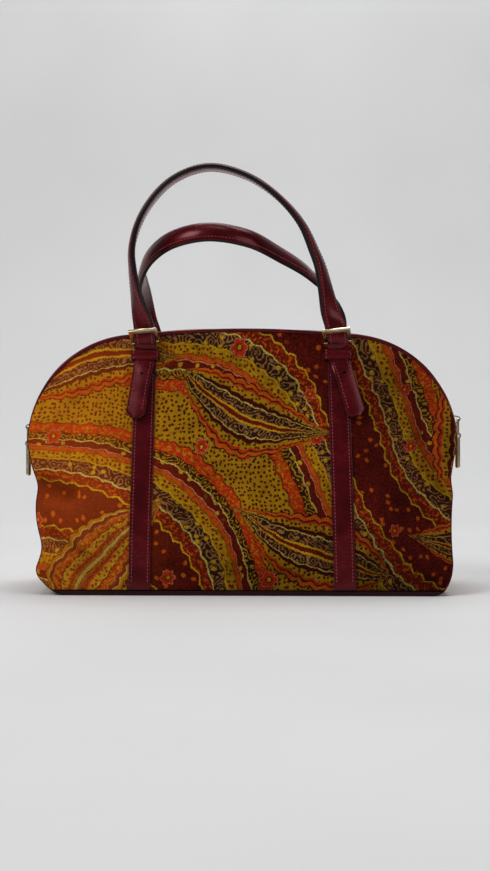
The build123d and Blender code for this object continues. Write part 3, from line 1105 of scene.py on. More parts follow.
        # Fold heights of the panels, turned into painted shade in the creases and painted light on the ridges
        fold = face.node("ShaderNodeAttribute")
        fold.attribute_name = FOLD_PAINTED_SHADE
        light = pile_sheen * 0.46 + 0.60 + face.field(fold.outputs["Fac"]) * 90.0 + (nap - 0.5) * 0.95
        # Painted light and shade on the front panel: lighter to the left, darker to the right and towards the
        # bottom
        light = light + left * 0.42 - right * 0.10 - low * 0.28
        face.tree.links.new(light.socket, shade.inputs["Value"])
        face.tree.links.new(colour, shade.inputs["Color"])
        face.paint(shade.outputs[0])
        face.set(Roughness=0.9, Specular_IOR_Level=0.04, Sheen_Weight=0.16, Sheen_Roughness=0.35,
                 Sheen_Tint=srgb(255, 176, 96))
        face.bump(nap * 0.5 + face.noise(flat, 420, 3.0) * 0.5, 0.0007, 0.5)
        return face.material


@dataclass(frozen=True)
class Leather:
    """Smooth dyed leather with a fine grain.

    Attributes:
        name: Name of the material.
        dark, middle, light: Shades that the dye runs through.
        roughness: Mean roughness.
        grain: Height of the grain.
    """

    name: str
    dark: tuple
    middle: tuple
    light: tuple
    roughness: float = 0.25
    grain: float = 0.00008

    def material(self) -> bpy.types.Material:
        """Make the leather's material.

        Returns:
            The material.
        """
        face = Surface(self.name)
        place = face.object_place()
        clouds = face.noise(place, 60, 4.0, 0.6)
        pores = face.node("ShaderNodeTexVoronoi", Scale=1250.0)
        face.tree.links.new(place, pores.inputs["Vector"])
        pebble = face.field(pores.outputs["Distance"])
        face.paint(face.ramp(clouds, [(0.30, self.dark), (0.52, self.middle), (0.75, self.light)]))
        face.roughen((clouds - 0.5) * 0.25 + self.roughness)
        face.set(Specular_IOR_Level=0.42, Specular_Tint=srgb(255, 152, 160), Coat_Weight=0.05,
                 Coat_Roughness=0.10)
        face.bump(pebble * 0.6 + face.noise(place, 340, 3.0) * 0.4, self.grain, 0.6)
        return face.material


@dataclass(frozen=True)
class Metal:
    """Polished plated metal.

    Attributes:
        name: Name of the material.
        colour: Colour of the plating.
        roughness: Roughness of the polish.
    """

    name: str
    colour: tuple
    roughness: float = 0.16

    def material(self) -> bpy.types.Material:
        """Make the metal's material.

        Returns:
            The material.
        """
        face = Surface(self.name)
        place = face.object_place()
        wear = face.noise(place, 180, 3.0)
        dim = tuple(0.82 * part for part in self.colour[:3]) + (1.0,)
        face.paint(face.ramp(wear, [(0.35, dim), (0.65, self.colour)]))
        face.roughen((wear - 0.5) * 0.10 + self.roughness)
        face.set(Metallic=1.0)
        return face.material


@dataclass(frozen=True)
class Plain:
    """Matt cloth, thread, paint or board in one colour with a fine weave.

    Attributes:
        name: Name of the material.
        colour: Its colour.
        roughness: Its roughness.
        weave: Threads per metre, or zero for a plain face.
        sheen: Share of soft shine from fibres.
    """

    name: str
    colour: tuple
    roughness: float = 0.7
    weave: float = 0.0
    sheen: float = 0.0

    def material(self) -> bpy.types.Material:
        """Make the material.

        Returns:
            The material.
        """
        face = Surface(self.name)
        place = face.object_place()
        clouds = face.noise(place, 240, 3.0)
        dim = tuple(0.72 * part for part in self.colour[:3]) + (1.0,)
        face.paint(face.ramp(clouds, [(0.35, dim), (0.62, self.colour)]))
        face.set(Roughness=self.roughness, Specular_IOR_Level=0.3, Sheen_Weight=self.sheen)
        if self.weave > 0:
            x, y, z = face.split(place)
            warp = (x * self.weave).sine() * (z * self.weave).sine() + (y * self.weave).sine()
            face.bump(warp * 0.25 + 0.5, 0.0003, 0.6)
        return face.material


class Finishes:
    """Every material of the bag, made once."""

    def __init__(self) -> None:
        """Make the materials."""
        self.velvet = Velvet().material()
        self.leather = Leather("burgundy_leather", Tone.LEATHER_DARK.value, Tone.LEATHER.value,
                               Tone.LEATHER_LIGHT.value).material()
        self.base_leather = Leather("base_leather", Tone.EDGE.value, Tone.BASE.value, Tone.BASE.value,
                                    0.5).material()
        self.edge = Plain("painted_edge", Tone.EDGE.value, 0.34).material()
        self.thread = Plain("thread", Tone.THREAD.value, 0.6, 0.0, 0.3).material()
        self.gold = Metal("gold_metal", Tone.GOLD_METAL.value).material()
        self.brass = Metal("zip_metal", Tone.GOLD_METAL.value, 0.24).material()
        self.tape = Plain("zip_tape", Tone.TAPE.value, 0.8, 7000.0, 0.2).material()
        self.lining = Plain("lining_cloth", Tone.LINING.value, 0.75, 5200.0, 0.2).material()
        self.board = Plain("stiffening_board", Tone.BOARD.value, 0.8).material()


@dataclass
class VelvetBody:
    """The six velvet sheets of the bag.

    Attributes:
        form: Outer form.
        finishes: Materials.
        sheet_t: Thickness of the velvet with its backing.
        columns: Points across a panel.
        rows: Points up a panel.
        band_rows: Points across a band between the panels.
        zip_half: Distance of a zip strip's edge from the middle.
        tape_drop: How far the zip tape lies below the arch.
        print_gap: Distance on the print between one sheet and the next.
        piping_r: Radius of the piped seam over the top.
        side_swell, side_pinch, side_ripple: Soft forms of a side band, each with its move, height and reach.
        strip_swell, strip_wave: How far a zip strip stands out, and how much that varies along it.
    """

    form: BagForm
    finishes: Finishes
    sheet_t: float = 0.0018
    columns: int = 150
    rows: int = 100
    band_rows: int = 28
    zip_half: float = 0.0120
    tape_drop: float = 0.0004
    print_gap: float = 0.53
    piping_r: float = 0.0017
    side_swell: tuple[float, float, float] = (0.0022, 0.045, 0.03)
    side_pinch: tuple[float, float, float] = (0.0065, 0.092, 0.022)
    side_ripple: tuple[float, float, float] = (0.0008, 0.085, 0.035)
    strip_swell: float = 0.0013
    strip_wave: float = 0.0006

    def panel_folds(self, side: Side) -> list[Fold]:
        """List the soft folds of a panel.

        Args:
            side: Front or back.

        Returns:
            The folds, mirrored for the back.
        """
        front = [
            Fold((0.153, 0.150), (0.176, 0.086), -0.0030, 0.0050),
            Fold((0.168, 0.150), (0.184, 0.100), 0.0018, 0.0060),
            Fold((0.140, 0.085), (0.172, 0.062), -0.0016, 0.0050),
            Fold((0.158, 0.016), (0.182, 0.012), -0.0022, 0.0035),
            Fold((-0.182, 0.104), (-0.150, 0.088), -0.0042, 0.0065),
            Fold((-0.180, 0.080), (-0.146, 0.076), 0.0026, 0.0060),
            Fold((-0.172, 0.056), (-0.140, 0.036), -0.0040, 0.0060),
            Fold((-0.120, 0.018), (-0.165, 0.026), -0.0014, 0.0045),
            Fold((-0.060, 0.026), (0.050, 0.020), -0.0012, 0.0070),
            Fold((-0.064, 0.186), (0.058, 0.190), -0.0010, 0.0120),
            Fold((0.118, 0.200), (0.150, 0.176), -0.0012, 0.0060),
            Fold((-0.118, 0.204), (-0.156, 0.166), -0.0012, 0.0070),
        ]
        if side is Side.FRONT:
            return front
        start_shift, end_shift, wider_share = 0.006, -0.004, 1.1
        return [Fold((-fold.start[0], fold.start[1] + start_shift), (-fold.end[0], fold.end[1] + end_shift),
                     fold.lift, fold.reach * wider_share) for fold in front]

    def panel_net(self) -> tuple[np.ndarray, np.ndarray]:
        """Spread a grid over the dome outline.

        Returns:
            Places across and up the panel, each rows by columns.
        """
        stretch = 1 / math.cos(self.form.tilt)
        side = self.form.side_line(self.form.seam)
        arch_points, cut = 401, 84
        arch = self.form.arch_line(self.form.seam, arch_points)
        right = np.vstack([side, arch[::-1][1:cut]])
        u, v = gathered(self.columns), gathered(self.rows)
        foot = side[0]
        low = resample([(-foot[0], foot[1]), foot], u)
        top = resample(arch[cut - 1:len(arch) - cut + 1], u)
        right = resample(right, v)
        left = right * np.array([-1, 1])
        u, v = u[None, :, None], v[:, None, None]
        net = ((1 - v) * low[None] + v * top[None] + (1 - u) * left[:, None] + u * right[:, None]
               - (1 - u) * (1 - v) * low[0] - u * (1 - v) * low[-1] - (1 - u) * v * top[0] - u * v * top[-1])
        return net[..., 0], net[..., 1] * stretch

    def finish_sheet(self, sheet: Piece, flat: np.ndarray, node: str, *rests_on: str) -> None:
        """Args:
            sheet: Open sheet.
            flat: Its flat places, rows by columns by 2.
            node: Node that it stands for.
            rests_on: Nodes that carry it.
        """
        dress(sheet, self.finishes.velvet)
        thicken(sheet, self.sheet_t, 0)
        stand_for(sheet, "bag", "velvet", node)
        declare_sheet(sheet, flat, *rests_on)

    def build_panel(self, side: Side) -> None:
        """Build one panel.

        Args:
            side: Front or back.
        """
        across, up = self.panel_net()
        out = self.form.bulge(across, up, self.panel_folds(side))
        points = self.form.sway(self.form.panel_place(side, across, up, out))
        flat = np.stack([-side.value * across, up], axis=-1) + self.print_gap * (1 + side.value)
        if side is Side.BACK:
            points, flat = points[:, ::-1], flat[:, ::-1]
        panel = woven_grid(f"{side.word}_panel_velvet", points, flat, PRINT_UV)
        # Fold heights kept for the velvet, which paints shade into the creases and light onto the ridges
        painted_fold_shade = sum(fold.offset(across, up) for fold in self.panel_folds(side))
        shade = panel.data.attributes.new(FOLD_PAINTED_SHADE, "FLOAT", "POINT")
        shade.data.foreach_set("value", (painted_fold_shade if side is Side.FRONT else painted_fold_shade[:, ::-1]).reshape(-1))
        self.finish_sheet(panel, flat, f"{side.word}_panel", "base_panel", f"{side.word}_piping")

    def depth_at(self, height: np.ndarray) -> np.ndarray:
        """Distance of the panel planes from the middle at a height."""
        form = self.form
        return form.half_depth - height * math.tan(form.tilt) - form.seam / math.cos(form.tilt)

    def build_gusset(self, hand: Hand) -> None:
        """Build one side band, from the base up to the end of the zip.

        Args:
            hand: Left or right.
        """
        side_points, fullness, foot_rise = 90, 1.5, 0.012
        waves_up, waves_across = 210, 40
        line = self.form.side_line(0.0, side_points)
        step = unit(np.gradient(line, axis=0))
        out_dir = np.stack([step[:, 1], -step[:, 0]], axis=1)
        share = gathered(self.band_rows * 2)
        depth = self.depth_at(line[:, 1])
        y = (2 * share[None] - 1) * depth[:, None]
        gap = depth[:, None] - np.abs(y)
        height = line[:, 1][:, None]
        middle = np.sin(math.pi * share)[None] ** fullness
        swell, *swell_place = self.side_swell
        pinch, *pinch_place = self.side_pinch
        crest, *ripple_place = self.side_ripple
        moved = swell * bell(height, *swell_place) - pinch * bell(height, *pinch_place)
        ripple = np.sin(height * waves_up + y * waves_across) * crest * bell(height, *ripple_place)
        out = self.form.seam_drop(gap) + middle * moved + ripple * middle
        out *= smooth(height, self.form.base_t, self.form.base_t + foot_rise)
        x = line[:, 0][:, None] + out * out_dir[:, 0][:, None]
        z = height + out * out_dir[:, 1][:, None]
        points = self.form.sway(np.stack([hand.value * x, hand.value * y, z], axis=-1))
        rise = run_along(line)
        flat = np.stack([y, np.broadcast_to(rise[:, None], y.shape)], axis=-1)
        flat = flat + self.print_gap * (4 + hand.value)
        gusset = woven_grid(f"{hand.word}_gusset_velvet", points, flat, PRINT_UV)
        self.finish_sheet(gusset, flat, f"{hand.word}_gusset", "base_panel")

    def build_strip(self, side: Side) -> None:
        """Build the strip between a panel and the zip, over the arch.

        Args:
            side: Front or back.
        """
        arch_points, waves_along, tape_reach = 220, 46, 0.004
        line = self.form.arch_line(0.0, arch_points)
        step = unit(np.gradient(line, axis=0))
        out_dir = np.stack([-step[:, 1], step[:, 0]], axis=1)
        share = gathered(self.band_rows)
        height = line[:, 1][None]
        depth = self.depth_at(height)
        reach = self.zip_half + (depth - self.zip_half) * share[:, None]
        gap = depth - reach
        rise = run_along(line)
        stand = self.strip_swell + self.strip_wave * np.sin(rise * waves_along + side.value)[None]
        soft = np.sin(math.pi * share)[:, None] * stand
        inner_drop = -self.tape_drop * (1 - smooth(reach, self.zip_half, self.zip_half + tape_reach))
        out = self.form.seam_drop(gap) + soft + inner_drop
        x = line[:, 0][None] + out * out_dir[:, 0][None]
        z = height + out * out_dir[:, 1][None]
        points = np.stack([x, side.value * reach, z], axis=-1)
        flat = np.stack([np.broadcast_to(rise[None], reach.shape), reach], axis=-1)
        flat = flat + self.print_gap * (8 + side.value)
        if side is Side.FRONT:
            points, flat = points[::-1], flat[::-1]
        strip = woven_grid(f"{side.word}_zip_strip_velvet", points, flat, PRINT_UV)
        self.finish_sheet(strip, flat, f"{side.word}_zip_strip", f"{side.word}_zip_tape")

    def build_piping(self, side: Side) -> None:
        """Build the piped seam round a panel, full over the top and drawn into the seam down the sides.

        Args:
            side: Front or back.
        """
        seam_points, round_points, smooth_deg = 360, 13, 60.0
        full_height, thin_share, full_share, sink_share = (0.16, 0.205), 0.4, 0.6, 1.3
        line = resample(self.form.outline(self.form.seam), seam_points)
        step = unit(np.gradient(line, axis=0))
        full = smooth(line[:, 1:], *full_height)
        radius = self.piping_r * (thin_share + full_share * full)
        turn = np.linspace(0.0, 2 * math.pi, round_points)[None]
        over = np.sin(turn) * radius
        across, height = line[:, :1] - step[:, 1:] * over, line[:, 1:] + step[:, :1] * over
        out = np.cos(turn) * radius - self.form.seam * (sink_share - full)
        points = self.form.sway(self.form.panel_place(side, across, height / math.cos(self.form.tilt), out))
        flat = np.stack([across, height], axis=-1)
        piping = woven_grid(f"{side.word}_piping_leather", points, flat, STRAP_UV)
        dress(piping, self.finishes.leather)
        weld(piping)
        soften(piping, smooth_deg)
        stand_for(piping, "bag", "leather", f"{side.word}_piping")

    def build(self) -> None:
        """Build every velvet sheet and the piping."""
        for side in Side:
            self.build_piping(side)
            self.build_panel(side)
            self.build_strip(side)
        for hand in Hand:
            self.build_gusset(hand)


@dataclass
class Ribbon:
    """Leather strip along a line, with a crowned face, painted edges and stitched rows.

    Attributes:
        name: Name of the piece.
        centre: Middle line of the strip, points by 3.
        normal: Direction of its outer face at each point.
        width: Width at each point.
        crown: Height of the face's crown at each point.
        thickness: Thickness of the strip at its edges.
        across: Points across the face.
        stitch_inset: Distance of the stitched rows from the edges.
        edge_r: Radius of the painted edges.
        slot_rows, slot_half: Rows in which a slot is cut along the middle, and half its width.
    """

    name: str
    centre: np.ndarray
    normal: np.ndarray
    width: np.ndarray
    crown: np.ndarray
    thickness: float | np.ndarray
    across: int = 11
    stitch_inset: float = 0.0026
    edge_r: float = 0.0005
    slot_rows: range | None = None
    slot_half: float = 0.0

    def axes(self) -> tuple[np.ndarray, np.ndarray, np.ndarray]:
        """Work out the strip's directions.

        Returns:
            Directions along, across and out of the strip at each point.
        """
        along = unit(np.gradient(self.centre, axis=0))
        out = unit(self.normal - along * np.sum(self.normal * along, axis=1)[:, None])
        return along, np.cross(along, out), out

    def face_line(self, share: float | np.ndarray) -> np.ndarray:
        """Draw a line along the outer face.

        Args:
            share: Place across the face, from -1 to 1.

        Returns:
            Points along the face.
        """
        _, across, out = self.axes()
        rise = self.thickness / 2 + self.crown * (1 - share ** 2)
        return self.centre + across * (share * self.width / 2)[:, None] + out * rise[:, None]

    def build(self, finishes: Finishes) -> Piece:
        """Build the strip.

        Args:
            finishes: Materials.

        Returns:
            The strip, without its stitches.
        """
        shares = np.linspace(-1.0, 1.0, self.across)
        points = np.stack([self.face_line(np.full(len(self.centre), share)) for share in shares], axis=1)
        length = run_along(self.centre)
        flat = np.stack([shares[None] * self.width[:, None] / 2,
                         np.broadcast_to(length[:, None], (len(length), self.across))], axis=-1)
        strip = woven_grid(self.name, points, flat, STRAP_UV)
        if self.slot_rows is not None:
            self.cut_slot(strip)
        dress(strip, finishes.leather, finishes.edge, finishes.thread)
        thicken(strip, self.thickness, self.edge_r, rim_slot=1)
        return strip

    def cut_slot(self, strip: Piece) -> None:
        """Delete the faces of the slot along the middle.

        Args:
            strip: Open strip.
        """
        shares = np.linspace(-1.0, 1.0, self.across)
        pick(strip)
        bpy.ops.object.mode_set(mode="EDIT")
        bpy.ops.mesh.select_all(action="DESELECT")
        bpy.ops.mesh.select_mode(type="FACE")
        bpy.ops.object.mode_set(mode="OBJECT")
        for row in self.slot_rows:
            for column in range(self.across - 1):
                middle = (shares[column] + shares[column + 1]) / 2 * self.width[row] / 2
                face = strip.data.polygons[row * (self.across - 1) + column]
                face.select = bool(abs(middle) < self.slot_half)
        bpy.ops.object.mode_set(mode="EDIT")
        bpy.ops.mesh.delete(type="FACE")
        bpy.ops.object.mode_set(mode="OBJECT")

    def stitches(self, sewing: "Sewing", first: int = 0, last: int | None = None) -> list[Piece]:
        """Sew a row along each edge.

        Args:
            sewing: Thread and stitch sizes.
            first: First point of the rows.
            last: Point after the last one.

        Returns:
            One piece per row.
        """
        part = slice(first, last)
        share = 1 - 2 * self.stitch_inset / self.width
        _, _, out = self.axes()
        return [sewing.row(f"{self.name}_row", self.face_line(sign * share)[part], out[part])
                for sign in (-1, 1)]


@dataclass
class PaddedRibbon(Ribbon):
    """Leather strip sewn from two faces over a filling, with half-round painted edges.

    Attributes:
        belly_share: Crown of the inner face, as a share of the outer one.
        edge_bulge: How far the painted edges stand out.
        edge_steps: Points round a painted edge.
    """

    belly_share: float = 0.3
    edge_bulge: float = 0.0005
    edge_steps: int = 4

    def inner_line(self, share: float | np.ndarray) -> np.ndarray:
        """Draw a line along the inner face.

        Args:
            share: Place across the face, from -1 to 1.

        Returns:
            Points along the face.
        """
        _, across, out = self.axes()
        drop = self.thickness / 2 + self.belly_share * self.crown * (1 - share ** 2)
        return self.centre + across * (share * self.width / 2)[:, None] - out * drop[:, None]

    def section(self) -> tuple[np.ndarray, np.ndarray]:
        """Work out the closed section at each point of the line.

        Returns:
            Places across and out of the strip, points by columns.
        """
        face = np.linspace(-1.0, 1.0, self.across)
        turn = np.linspace(math.pi / 2, -math.pi / 2, self.edge_steps + 2)[1:-1]
        half, edge = self.width[:, None] / 2, self.thickness[:, None] / 2
        vault = self.crown[:, None] * (1 - face ** 2)
        rim_s, rim_n = half + self.edge_bulge * np.cos(turn), edge * np.sin(turn)
        over = np.concatenate([half * face, rim_s, half * face[::-1], -rim_s, -half], axis=1)
        out = np.concatenate([edge + vault, rim_n, -edge - self.belly_share * vault, -rim_n, edge], axis=1)
        return over, out

    def build(self, finishes: Finishes) -> Piece:
        """Build the strip as a closed tube with painted ends.

        Args:
            finishes: Materials.

        Returns:
            The strip, without its stitches.
        """
        along, across, out = self.axes()
        over, lift = self.section()
        rows = [0, *range(len(self.centre)), len(self.centre) - 1]
        over, lift = over[rows], lift[rows]
        lift[[0, -1]] = 0.0
        points = self.centre[rows][:, None] + across[rows][:, None] * over[..., None]
        points = points + out[rows][:, None] * lift[..., None]
        length = run_along(self.centre)[rows]
        flat = np.stack([over, np.broadcast_to(length[:, None], over.shape)], axis=-1)
        strip = woven_grid(self.name, points, flat, STRAP_UV)
        rim = np.zeros(over.shape[1] - 1, np.int32)
        side = self.across + self.edge_steps
        rim[self.across - 1:side] = 1
        rim[side + self.across - 1:] = 1
        paint = np.tile(rim, (len(rows) - 1, 1))
        paint[[0, -1]] = 1
        dress(strip, finishes.leather, finishes.edge, finishes.thread)
        strip.data.polygons.foreach_set("material_index", paint.reshape(-1))
        weld(strip)
        soften(strip)
        return strip

    def stitches(self, sewing: "Sewing", first: int = 0, last: int | None = None) -> list[Piece]:
        """Sew a row along each edge of both faces.

        Args:
            sewing: Thread and stitch sizes.
            first: First point of the rows.
            last: Point after the last one.

        Returns:
            One piece per row.
        """
        part = slice(first, last)
        share = 1 - 2 * self.stitch_inset / self.width
        _, _, out = self.axes()
        under = [sewing.row(f"{self.name}_row", self.inner_line(sign * share)[part], -out[part])
                 for sign in (-1, 1)]
        return super().stitches(sewing, first, last) + under


@dataclass
class Sewing:
    """Rows of stitches.

    Attributes:
        finishes: Materials.
        pitch: Distance from one stitch to the next.
        length: Length of a stitch.
        radius: Radius of the thread.
        slant_deg: How far a stitch turns from its row.
        sink: How deep a stitch lies in the face.
    """

    finishes: Finishes
    pitch: float = 0.0031
    length: float = 0.0023
    radius: float = 0.00050
    slant_deg: float = 7.0
    sink: float = 0.00004

    def __post_init__(self) -> None:
        """Model one stitch and keep its points and faces."""
        deselect()
        bpy.ops.mesh.primitive_uv_sphere_add(segments=6, ring_count=5, radius=1.0)
        stitch = bpy.context.active_object
        stitch.rotation_euler = (0.0, math.pi / 2, math.radians(self.slant_deg))
        stitch.scale = (self.radius, self.radius, self.length / 2)
        settle(stitch)
        self.points = np.array([vertex.co[:] for vertex in stitch.data.vertices])
        self.faces = [list(polygon.vertices) for polygon in stitch.data.polygons]
        bpy.data.objects.remove(stitch)

    def row(self, name: str, line: np.ndarray, normals: np.ndarray) -> Piece:
        """Lay stitches along a line.

        Args:
            name: Name of the row.
            line: Points of the line.
            normals: Direction out of the face at each point.

        Returns:
            One piece with every stitch of the row.
        """
        steps = np.linalg.norm(np.diff(line, axis=0), axis=1)
        length = float(steps.sum())
        count = max(2, int(length / self.pitch))
        places = resample(np.hstack([line, normals]), (np.arange(count) + 0.5) / count)
        ahead = resample(np.hstack([line, normals]), np.clip((np.arange(count) + 0.6) / count, 0, 1))
        points, faces = [], []
        for place, after in zip(places, ahead):
            along = after[:3] - place[:3]
            along /= np.linalg.norm(along)
            out = place[3:] - along * place[3:].dot(along)
            out /= np.linalg.norm(out)
            turn = np.stack([along, np.cross(out, along), out], axis=1)
            faces.extend([corner + len(points) * len(self.points) for corner in face] for face in self.faces)
            points.append(self.points @ turn.T + place[:3] - out * self.sink)
        mesh = bpy.data.meshes.new(name)
        mesh.from_pydata(np.vstack(points).tolist(), [], faces)
        sewn = bpy.data.objects.new(name, mesh)
        bpy.context.collection.objects.link(sewn)
        mesh.shade_smooth()
        dress(sewn, self.finishes.leather, self.finishes.edge, self.finishes.thread)
        mesh.polygons.foreach_set("material_index", np.full(len(mesh.polygons), 2, np.int32))
        return sewn


@dataclass
class StrapSet:
    """Straps sewn to the panels, with the keepers across them.

    Attributes:
        form: Outer form.
        finishes: Materials.
        sewing: Stitches.
        body: Velvet sheets, for the folds that the straps follow.
        strap_t: Thickness of a strap.
        loop_r: Distance of the buckle bar from the panel.
        wrap_r: Radius of the strap's middle round the bar.
        chape: Length of the turned-over end.
        slot_half: Half width of the prong's slot.
        keeper_drop: Distance of a keeper below the bar.
        keeper_height, keeper_wall, keeper_half, keeper_out: Sizes of a keeper.
        keeper_r, keeper_edge_r, keeper_bow, keeper_crown: Its corners, its rims and the rounding of its face.
        keeper_sink: How far its ends reach into the panel.
        tool_depth, tool_place, tool_reach: Depth, place and half width of its two tooled lines.
        foot_gap: Distance of a strap's end from the base.
        crown: Crown of a strap's face.
        loop_narrow: How much narrower a strap is round the bar.
    """

    form: BagForm
    finishes: Finishes
    sewing: Sewing
    body: VelvetBody
    strap_t: float = 0.0022
    loop_r: float = 0.0040
    wrap_r: float = 0.0029
    chape: float = 0.0045
    slot_half: float = 0.0022
    keeper_drop: float = 0.0124
    keeper_height: float = 0.0087
    keeper_wall: float = 0.0014
    keeper_half: float = 0.0124
    keeper_out: float = 0.0070
    keeper_r: float = 0.0024
    keeper_edge_r: float = 0.0004
    keeper_bow: float = 0.0006
    keeper_crown: float = 0.0004
    keeper_sink: float = 0.0004
    tool_depth: float = 0.00036
    tool_place: float = 0.0024
    tool_reach: float = 0.00042
    foot_gap: float = 0.0012
    crown: float = 0.00045
    loop_narrow: float = 0.0022

    def out_at(self, side: Side, across: np.ndarray, up: np.ndarray) -> np.ndarray:
        """Height of the soft panel at some places."""
        return self.form.bulge(across, up, self.body.panel_folds(side))

    def build_strap(self, side: Side, hand: Hand) -> None:
        """Build one strap up the panel and round the buckle bar.

        Args:
            side: Front or back.
            hand: Left or right.
        """
        strap_points, loop_points, end_points, last_rows = 70, 17, 7, 8
        flat_start, flat_end, sink, end_share = 0.03, 0.012, 0.0012, 1.5
        hinge = self.form.hinge_v
        up = np.linspace(self.form.base_t + self.foot_gap, hinge, strap_points)
        across = self.form.strap_x(hand, up)
        out = self.out_at(side, across, up)
        out = out * (1 - smooth(up, hinge - flat_start, hinge - flat_end)) + self.strap_t / 2
        out = np.maximum(out, self.strap_t / 2 - sink)
        turn = np.linspace(0, math.pi, loop_points)[1:]
        loop_up = hinge + self.wrap_r * np.sin(turn)
        loop_out = self.loop_r - self.wrap_r * np.cos(turn)
        end = np.linspace(0, 1, end_points)[1:]
        end_up = hinge - self.chape * end
        end_out = loop_out[-1] + (self.strap_t * end_share - loop_out[-1]) * smooth(end, 0, 1)
        line_up = np.concatenate([up, loop_up, end_up])
        line_out = np.concatenate([out, loop_out, end_out])
        line_x = np.concatenate([across, np.full(len(turn) + len(end), across[-1])])
        centre = self.form.panel_place(side, line_x, line_up, line_out)
        _, up_dir, out_dir = self.form.panel_axes(side)
        slope = unit(np.stack([np.gradient(line_up), np.gradient(line_out)], axis=1))
        normal = slope[:, :1] * out_dir - slope[:, 1:] * up_dir
        count = len(centre)
        fade = 1 - smooth(np.arange(count), len(up) - last_rows, len(up))
        width = np.full(count, self.form.strap_width) - self.loop_narrow * (1 - fade)
        slot_rows = range(len(up) - 2, len(up) + len(turn) + 2)
        strap = Ribbon(f"{side.word}_{hand.word}_strap_leather", centre, normal, width, self.crown * fade,
                       self.strap_t, slot_rows=slot_rows, slot_half=self.slot_half)
        piece = strap.build(self.finishes)
        rows = strap.stitches(self.sewing, 2, len(up) - last_rows - 1)
        piece = join([piece, *rows], strap.name)
        stand_for(piece, "bag", "leather", f"{side.word}_{hand.word}_strap")

    def build_keeper(self, side: Side, hand: Hand) -> None:
        """Build one keeper, a band over strap and tip with two tooled lines.

        Args:
            side: Front or back.
            hand: Left or right.
        """
        middle = self.form.hinge_v - self.keeper_drop
        centre_x = self.form.strap_x(hand, middle)
        corner_points, section_points, rows = 7, 46, 27
        top, half, round_r = self.keeper_out, self.keeper_half, self.keeper_r
        left = [(-half, -self.keeper_sink)]
        left += [(-half + round_r - round_r * math.cos(angle), top - round_r + round_r * math.sin(angle))
                 for angle in np.linspace(0, math.pi / 2, corner_points)]
        section = np.array(left + [(-x, out) for x, out in left[::-1]])
        section = resample(section, section_points)
        bow = self.keeper_bow * np.clip(1 - (section[:, 0] / half) ** 2, 0, 1)
        step = unit(np.gradient(section, axis=0))
        outward = np.stack([-step[:, 1], step[:, 0]], axis=1)
        place_up = np.linspace(-0.5, 0.5, rows) * self.keeper_height
        tooled = self.tool_depth * bell(np.abs(place_up), self.tool_place, self.tool_reach)
        crown = self.keeper_crown * (1 - (2 * place_up / self.keeper_height) ** 2)
        lift = bow[None] + (crown - tooled)[:, None]
        across = centre_x + section[:, 0][None] + outward[:, 0][None] * lift
        out = section[:, 1][None] + outward[:, 1][None] * lift
        up = np.broadcast_to((middle + place_up)[:, None], across.shape)
        points = self.form.panel_place(side, across, up, out)
        flat = np.stack([across, up], axis=-1)
        if side is Side.BACK:
            points, flat = points[:, ::-1], flat[:, ::-1]
        keeper = woven_grid(f"{side.word}_{hand.word}_keeper_leather", points, flat, STRAP_UV)
        dress(keeper, self.finishes.leather, self.finishes.edge)
        thicken(keeper, self.keeper_wall, self.keeper_edge_r, rim_slot=1)
        stand_for(keeper, "bag", "leather", f"{side.word}_{hand.word}_keeper")

    def build(self) -> None:
        """Build every strap and keeper."""
        for side in Side:
            for hand in Hand:
                self.build_strap(side, hand)
                self.build_keeper(side, hand)


